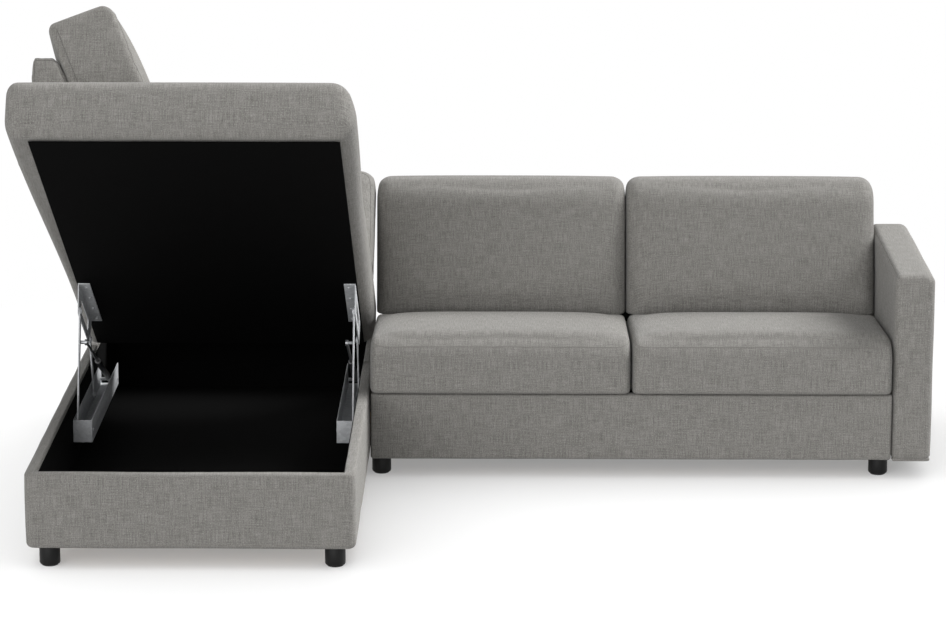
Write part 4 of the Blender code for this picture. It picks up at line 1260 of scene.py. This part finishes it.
    def leaning(self, rear, foot, top, form):
        """Section of a back cushion that stands in front of a rest and leans on it."""
        front = rear - form.back_depth
        return [(front, foot), (rear, foot), (rear + form.lean * self.back_lean_share, top),
                (front + form.lean, top)]

    def loose_plan(self, node, section, run, turn, form, along_x=True):
        """Back cushion: sewn round its front and rear on the chaise, and up its front on the sofa."""
        if turn is LID:
            seams = [(face_loop(section, run, along_x, panel, *self.panel_seam), True)
                     for panel in ("front", "rear")]
        else:
            seams = [(self.upright_seam(section, run), False)]
        radii, swells, shape = self.side_radii, self.side_swells, None
        if along_x:
            radii, swells = self.back_radii, self.rear_swells if turn is LID else self.back_swells
            shape = functools.partial(bellied, **self.back_belly)
        return CushionPlan(node, section, run, radii, swells, seams=seams, step=form.step, fill=0.75,
                           squeeze=form.squeeze, along_x=along_x, turn=turn, form=shape)

    def upright_seam(self, section, run):
        """A seam up the front of a back cushion, a little in from its left end."""
        share = self.seam_inset / (run[1] - run[0])
        ends = np.array([(share, 0.0, height) for height in self.seam_heights])
        return resampled(to_section(ends, (1, 1, 1), section, run, True))

    def filled(self, plans, form):
        """Every cover's points after its filling has pushed it out."""
        covers, starts = [], []
        for plan in plans:
            mesh = mesh_of(plan.node + "_start", plan.start, plan.quads)
            starts.append(coords(mesh) - coords(mesh, "normal") * form.slack)
            set_coords(mesh, starts[-1])
            covers.append(link(plan.node + "_start", mesh))
        results = self.simulated(covers, starts, plans, form)
        for cover in covers:
            drop(cover)
        return [plan.fitted(points) for points, plan in zip(results, plans)]

    def simulated(self, covers, starts, plans, form):
        """Let the cloth settle under its filling, with a cap on how far any point moves."""
        scene = bpy.context.scene
        for cover in covers:
            cloth = cover.modifiers.new("filling", "CLOTH")
            cloth.settings.quality = self.cloth_quality
            cloth.settings.use_pressure = True
            cloth.settings.uniform_pressure_force = form.pressure
            cloth.settings.bending_stiffness = self.cloth_stiffness
            cloth.settings.effector_weights.gravity = 0.0
            cloth.collision_settings.use_collision = False
            cloth.point_cache.frame_start = 1
            cloth.point_cache.frame_end = form.frames
        for step in range(1, form.frames + 1):
            scene.frame_set(step)
        results = []
        for cover, start, plan in zip(covers, starts, plans):
            mesh = settled_mesh(cover, cover.name + "_settled")
            move = coords(mesh) - start
            bpy.data.meshes.remove(mesh)
            outward = coords(cover.data, "normal")
            rise = evened((move * outward).sum(1), plan.quads, form.evening) - form.slack
            held = np.where(rise > 0, form.cap * (1 - np.exp(-np.abs(rise) / form.cap)),
                            -form.draw_in * (1 - np.exp(-np.abs(rise) / form.draw_in)))
            results.append(start + outward * (held * plan.freedom(outward) + form.slack)[:, None])
            cover.modifiers.clear()
        scene.frame_set(1)
        return results

    def finish(self, plan, points, seed, context):
        """Smooth a filled cover, sew it and seat it in place of its node."""
        name = plan.node + "_filled"
        mesh = subdivided(name, points, plan.quads)
        # Seams here take the dark fold, painted shade of the seam's groove, except on the sofa's cushions,
        # which take the pale fold
        depth, fold = context.scene.sofa_cover.seam_depth * self.loose_seam_share, "seam_fold"
        if plan.node == "chaise_seat_pad":
            depth = self.pad_seam_depth
        elif plan.turn is not LID:
            depth, fold = depth * self.sofa_seam_share, "pale_fold"
        piece = dress_cover(name, mesh, plan.seams, plan.turn, (plan.node,), context, depth, seed, fold)


def finished_copy(node, material, edge):
    """A node's shape with its facets joined and its edges eased, in place of the node."""
    merge, flat, rounded, sharp = 0.00002, math.radians(2), math.radians(50), math.radians(35)
    mesh = NODES[node].data.copy()
    work = bmesh.new()
    work.from_mesh(mesh)
    bmesh.ops.remove_doubles(work, verts=work.verts, dist=merge)
    bmesh.ops.dissolve_limit(work, angle_limit=flat, verts=work.verts, edges=work.edges)
    work.to_mesh(mesh)
    work.free()
    rough = link(node + "_rough", mesh)
    rounding = rough.modifiers.new("edges", "BEVEL")
    rounding.width = edge
    rounding.segments = 2
    rounding.limit_method = "ANGLE"
    rounding.angle_limit = rounded
    smooth = settled_mesh(rough, node + "_eased")
    drop(rough)
    smooth.shade_smooth()
    smooth.set_sharp_from_angle(angle=sharp)
    return seat_piece(node + "_eased", smooth, material, BODY_OF[node], (node,))


def turned_mesh(name, profile, sides):
    """A closed turned shape from (radius, height) points that start and end on the axis."""
    on_axis, sharp = 1e-6, math.radians(40)
    angles = [2 * math.pi * k / sides for k in range(sides)]
    points, rings = [], []
    for radius, height in profile:
        first = len(points)
        if radius < on_axis:
            points.append((0.0, 0.0, height))
        else:
            points += [(radius * math.cos(a), radius * math.sin(a), height) for a in angles]
        rings.append(range(first, len(points)))
    faces = []
    for upper, lower in zip(rings, rings[1:]):
        for k in range(sides):
            nxt = (k + 1) % sides
            corners = [upper[k % len(upper)], lower[k % len(lower)], lower[nxt % len(lower)],
                       upper[nxt % len(upper)]]
            faces.append(list(dict.fromkeys(corners)))
    mesh = bpy.data.meshes.new(name)
    mesh.from_pydata(points, [], faces)
    mesh.update()
    mesh.shade_smooth()
    mesh.set_sharp_from_angle(angle=sharp)
    return mesh


def face_places(node, axis, sign, shares, turn=LEVEL):
    """Places and directions where straight lines first meet one side of a node.

    shares: where the lines run, as shares of the node's box along its other two axes.
    """
    points = node_points(node) @ np.array(turn.to_3x3())
    faces = [tuple(face.vertices) for face in NODES[node].data.polygons]
    tree = BVHTree.FromPolygons(points.tolist(), faces)
    low, high = points.min(0), points.max(0)
    outward = sign * np.eye(3)[axis]
    others = [i for i in range(3) if i != axis]
    away = 0.01
    places = []
    for pair in shares:
        start = np.where(outward > 0, high, low) + away * outward
        for i, share in zip(others, pair):
            start[i] = low[i] + share * (high[i] - low[i])
        hit = tree.ray_cast(Vector(start), Vector(-outward))[0]
        if hit is None:
            raise RuntimeError(f"no face of {node} at {pair}")
        places.append(turn @ hit)
    return places, [turn.to_3x3() @ Vector(outward)] * len(places)


def screw_mesh(radius, height):
    """A pan-head screw with a sunk drive."""
    shape = ((0.0, 0.40), (0.30, 0.40), (0.38, 0.98), (0.70, 0.86), (0.92, 0.52), (1.0, 0.10), (1.0, -0.05),
             (0.0, -0.05))
    return turned_mesh("screw", [(radius * r, height * z) for r, z in shape], 10)


def rivet_mesh(radius, height):
    """A domed rivet head."""
    shape = ((0.0, 1.0), (0.45, 0.90), (0.80, 0.58), (0.97, 0.20), (1.0, -0.05), (0.0, -0.05))
    return turned_mesh("rivet", [(radius * r, height * z) for r, z in shape], 12)


def fasten(name, shape, rows, body, material):
    """Fasteners of one body, in rows of (node, axis, sign, shares, turn)."""
    places, axes = [], []
    for row in rows:
        found, outward = face_places(*row)
        places += found
        axes += outward
    placed_copies(name, shape, places, axes, material, body)


class SOFA_OT_legs(SofaOperator):
    """Turn the round plastic legs with their glides"""

    bl_idname = "sofa.legs"
    bl_label = "Legs"
    ease, glide, glide_ease, leg_sides = 0.0022, 0.0035, 0.0008, 48

    def make(self, context):
        nodes = [node for node in NODES if "_leg_" in node]
        boxes = [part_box(node) for node in nodes]
        low, high = boxes[0]
        leg = turned_mesh("turned_leg", self.profile((high.x - low.x) / 2, high.z), self.leg_sides)
        places = [((low.x + high.x) / 2, (low.y + high.y) / 2, 0.0) for low, high in boxes]
        placed_copies("turned_legs", leg, places, [(0, 0, 1)] * len(places), moulded_plastic(), "base",
                      nodes)

    def profile(self, radius, height):
        """Radius and height of a leg's outline, from the middle of its top to the middle of its glide."""
        ease, glide = self.ease, self.glide
        return [(0.0, height), (radius - ease, height), (radius - ease * 0.3, height - ease * 0.3),
                (radius, height - ease), (radius, glide + ease * 2),
                (radius - ease * 0.6, glide + ease * 0.6), (radius - ease * 2, glide),
                (radius - ease * 2.6, glide), (radius - ease * 2.6, self.glide_ease),
                (radius - ease * 3.0, 0.0), (0.0, 0.0)]


class SOFA_OT_linings(SofaOperator):
    """Dress the storage box and the underside of the chaise's top in black lining, darkened as painted shade
    """

    bl_idname = "sofa.linings"
    bl_label = "Linings"

    def make(self, context):
        finishes = {"storage_liner": lining_felt(), "lid_lining": lining_felt(),
                    "storage_floor": birch_wood("y")}
        for node, material in finishes.items():
            mesh = NODES[node].data
            mesh.materials.clear()
            mesh.materials.append(material)


class SOFA_OT_lift_fittings(SofaOperator):
    """Finish the steel lift fittings and their gas springs"""

    bl_idname = "sofa.lift_fittings"
    bl_label = "Lift Fittings"
    screw_radius, screw_height = 0.0048, 0.0024
    # Where the screws sit on the brackets' flanges, as shares across and along them
    screws_across = {"left": 0.62, "right": 0.38}
    screws_along = (0.08, 0.36, 0.64, 0.92)
    pin_radius, pin_height = 0.0070, 0.0022
    sheet_edge, tube_edge, rod_edge = 0.0006, 0.0005, 0.0003

    def make(self, context):
        rows = []
        for side, across in self.screws_across.items():
            shares = [(across, along) for along in self.screws_along]
            rows.append((f"lift_bracket_{side}", 2, -1, shares, LID))
        screw = screw_mesh(self.screw_radius, self.screw_height)
        fasten("lid_bracket_screws", screw, rows, "lid", zinc_steel())
        self.pin_heads()
        for side in BOTH_SIDES:
            for part in ("lift_housing", "lift_bracket", "front_link", "rear_link"):
                finished_copy(f"{part}_{side}", zinc_steel(), self.sheet_edge)
            finished_copy(f"gas_tube_{side}", spring_lacquer(), self.tube_edge)
            finished_copy(f"gas_rod_{side}", bright_rod(), self.rod_edge)

    def pin_heads(self):
        """Domed heads on the inner ends of the links' pivot pins."""
        for part in ("front_link", "rear_link"):
            _, y, z = JOINTS[part + "_swing"]["pos_m"]
            left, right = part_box(part + "_left")[1].x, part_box(part + "_right")[0].x
            head = rivet_mesh(self.pin_radius, self.pin_height)
            placed_copies(part + "_pin_heads", head, [(left, y, z), (right, y, z)], [(1, 0, 0), (-1, 0, 0)],
                          zinc_steel(), part + "s")


class SOFA_OT_bed_frame(SofaOperator):
    """Finish the wood and steel that carry the pull-out seat and the drop back"""

    bl_idname = "sofa.bed_frame"
    bl_label = "Bed Frame"
    wood_edge, steel_edge = 0.0012, 0.0004
    # Dressed in the black felt instead of wood: the front slat as painted shade of the dark gap under the
    # seat cushions' front, and the back ledge
    lined = ("back_ledge", "deck_slat_1")
    wood = {"x": ("sofa_stretcher", "deck_rear_rail", "deck_slat_2", "deck_slat_3", "deck_slat_4"),
            "y": ("sofa_left_side", "sofa_right_side", "deck_rail_left", "deck_rail_right")}
    paired_steel = ("runner_outer", "runner_inner", "hinge_strap", "hinge_leaf")

    def make(self, context):
        for node in self.lined:
            finished_copy(node, lining_felt(), self.wood_edge)
        for axis, nodes in self.wood.items():
            for node in nodes:
                finished_copy(node, birch_wood(axis), self.wood_edge)
        steel = ["module_tie_plate"]
        steel += [f"{part}_{side}" for part in self.paired_steel for side in BOTH_SIDES]
        for node in steel:
            finished_copy(node, zinc_steel(), self.steel_edge)


class SOFA_OT_studio(SofaOperator):
    """Set up the pale floor, the soft lights and the camera"""

    bl_idname = "sofa.studio"
    bl_label = "Studio"
    floor_reach, sensor, clip_end = 40.0, 36.0, 200.0
    # Where each light comes from, and the angle in degrees that it is spread over
    key_from, key_spread = (0.70, 0.38, 0.62), 34
    fill_from, fill_spread = (-0.34, -0.93, 0.10), 60
    floor_from, floor_spread = (0.0, -0.1, 1.0), 120
    # Greys of the floor as it lights the sofa and as it is seen, and where it turns white
    floor_bounce, floor_seen = 0.42, 0.82
    white_start, white_end, least_white = 1.2, 2.6, 0.28

    def make(self, context):
        scene, setting = context.scene, context.scene.sofa_studio
        scene.view_settings.view_transform = "Standard"
        reach = self.floor_reach
        corners = [(-reach, -reach, 0), (reach, -reach, 0), (reach, reach, 0), (-reach, reach, 0)]
        floor = link("studio_floor", mesh_of("studio_floor", corners, [(0, 1, 2, 3)]))
        floor.data.materials.append(self.floor_paint())
        self.room(scene, setting.room)
        key = self.lamp("key_light", setting.key, self.key_from, self.key_spread)
        self.lamp("fill_light", setting.fill, self.fill_from, self.fill_spread)
        wash = self.lamp("floor_light", setting.floor, self.floor_from, self.floor_spread)
        self.lights_only(key, floor, "EXCLUDE")
        self.lights_only(wash, floor, "INCLUDE")
        camera = bpy.data.objects.new("camera", bpy.data.cameras.new("camera"))
        scene.collection.objects.link(camera)
        camera.location = setting.camera_place
        camera.rotation_euler = setting.camera_turn
        camera.data.lens = setting.lens
        camera.data.sensor_width = self.sensor
        camera.data.clip_end = self.clip_end
        scene.camera = camera

    def lamp(self, name, strength, towards, spread):
        """A soft far light that comes from the given direction."""
        light = bpy.data.lights.new(name, "SUN")
        light.energy = strength
        light.angle = math.radians(spread)
        lamp = bpy.data.objects.new(name, light)
        bpy.context.scene.collection.objects.link(lamp)
        lamp.rotation_euler = Vector(towards).to_track_quat("Z", "Y").to_euler()
        return lamp

    def lights_only(self, lamp, floor, state):
        """Let a lamp light nothing but the floor, or everything but the floor."""
        group = bpy.data.collections.new(lamp.name + "_receivers")
        group.objects.link(floor)
        group.collection_objects[0].light_linking.link_state = state
        lamp.light_linking.receiver_collection = group

    def seen(self, w):
        """One where a ray comes from the camera, a mirror or glass, else nought."""
        path = w.node("ShaderNodeLightPath").outputs
        both = w.sum(path["Is Camera Ray"], path["Is Glossy Ray"])
        return w.node("ShaderNodeMath", {0: both, 1: path["Is Transmission Ray"]}, operation="ADD",
                      use_clamp=True).outputs[0]

    def floor_paint(self):
        """Pale floor: lit paint near the sofa that turns to plain white further off."""
        material = bpy.data.materials.new("pale_floor")
        material.use_nodes = True
        tree = material.node_tree
        tree.nodes.clear()
        w = Wiring(tree)
        shade = w.mixed(self.seen(w), [self.floor_bounce] * 3, [self.floor_seen] * 3)
        paint = w.node("ShaderNodeBsdfDiffuse", {"Color": shade}).outputs[0]
        white = w.node("ShaderNodeEmission", {"Color": (1.0, 1.0, 1.0, 1.0), "Strength": 1.0}).outputs[0]
        far = w.node("ShaderNodeVectorMath", {0: w.scaled(w.place(), (0.8, 1.0, 0.0))}, operation="LENGTH")
        share = w.spread(far.outputs["Value"], self.white_start, self.white_end)
        glow = w.times(self.seen(w), w.sum(self.least_white, w.times(share, 1 - self.least_white)))
        mixed = w.node("ShaderNodeMixShader", {0: glow, 1: paint, 2: white}).outputs[0]
        w.node("ShaderNodeOutputMaterial", {"Surface": mixed})
        return material

    def room(self, scene, strength):
        """Even light from all round, which looks white itself."""
        world = bpy.data.worlds.new("studio_room")
        scene.world = world
        world.use_nodes = True
        tree = world.node_tree
        tree.nodes.clear()
        w = Wiring(tree)
        level = w.sum(strength, w.times(self.seen(w), 1.0 - strength))
        sky = w.node("ShaderNodeBackground", {"Color": (1.0, 1.0, 1.0, 1.0), "Strength": level})
        w.node("ShaderNodeOutputWorld", {"Surface": sky.outputs[0]})


STEPS = (SOFA_OT_studio, SOFA_OT_chaise_base, SOFA_OT_rests, SOFA_OT_sofa_shell, SOFA_OT_cushions,
         SOFA_OT_legs, SOFA_OT_linings, SOFA_OT_lift_fittings, SOFA_OT_bed_frame)
SETTINGS = {"sofa_fabric": FabricLook, "sofa_cushion": CushionForm, "sofa_cover": CoverForm,
            "sofa_studio": StudioLight}


class SOFA_PT_panel(bpy.types.Panel):
    """Sofa bed pieces and their settings"""

    bl_label = "Sofa Bed"
    bl_idname = "SOFA_PT_panel"
    bl_space_type = "VIEW_3D"
    bl_region_type = "UI"
    bl_category = "Sofa Bed"

    def draw(self, context):
        for name, group in SETTINGS.items():
            box = self.layout.box()
            settings = getattr(context.scene, name)
            for key in group.__annotations__:
                box.prop(settings, key)
        for step in STEPS:
            self.layout.operator(step.bl_idname)


CLASSES = (*SETTINGS.values(), *STEPS, SOFA_PT_panel)


def register():
    for kind in CLASSES:
        bpy.utils.register_class(kind)
    for name, group in SETTINGS.items():
        setattr(bpy.types.Scene, name, PointerProperty(type=group))


def unregister():
    for name in SETTINGS:
        delattr(bpy.types.Scene, name)
    for kind in reversed(CLASSES):
        bpy.utils.unregister_class(kind)


def main():
    """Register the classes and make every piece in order."""
    register()
    for step in STEPS:
        group, name = step.bl_idname.split(".")
        getattr(getattr(bpy.ops, group), name)()


if __name__ == "__main__":
    main()
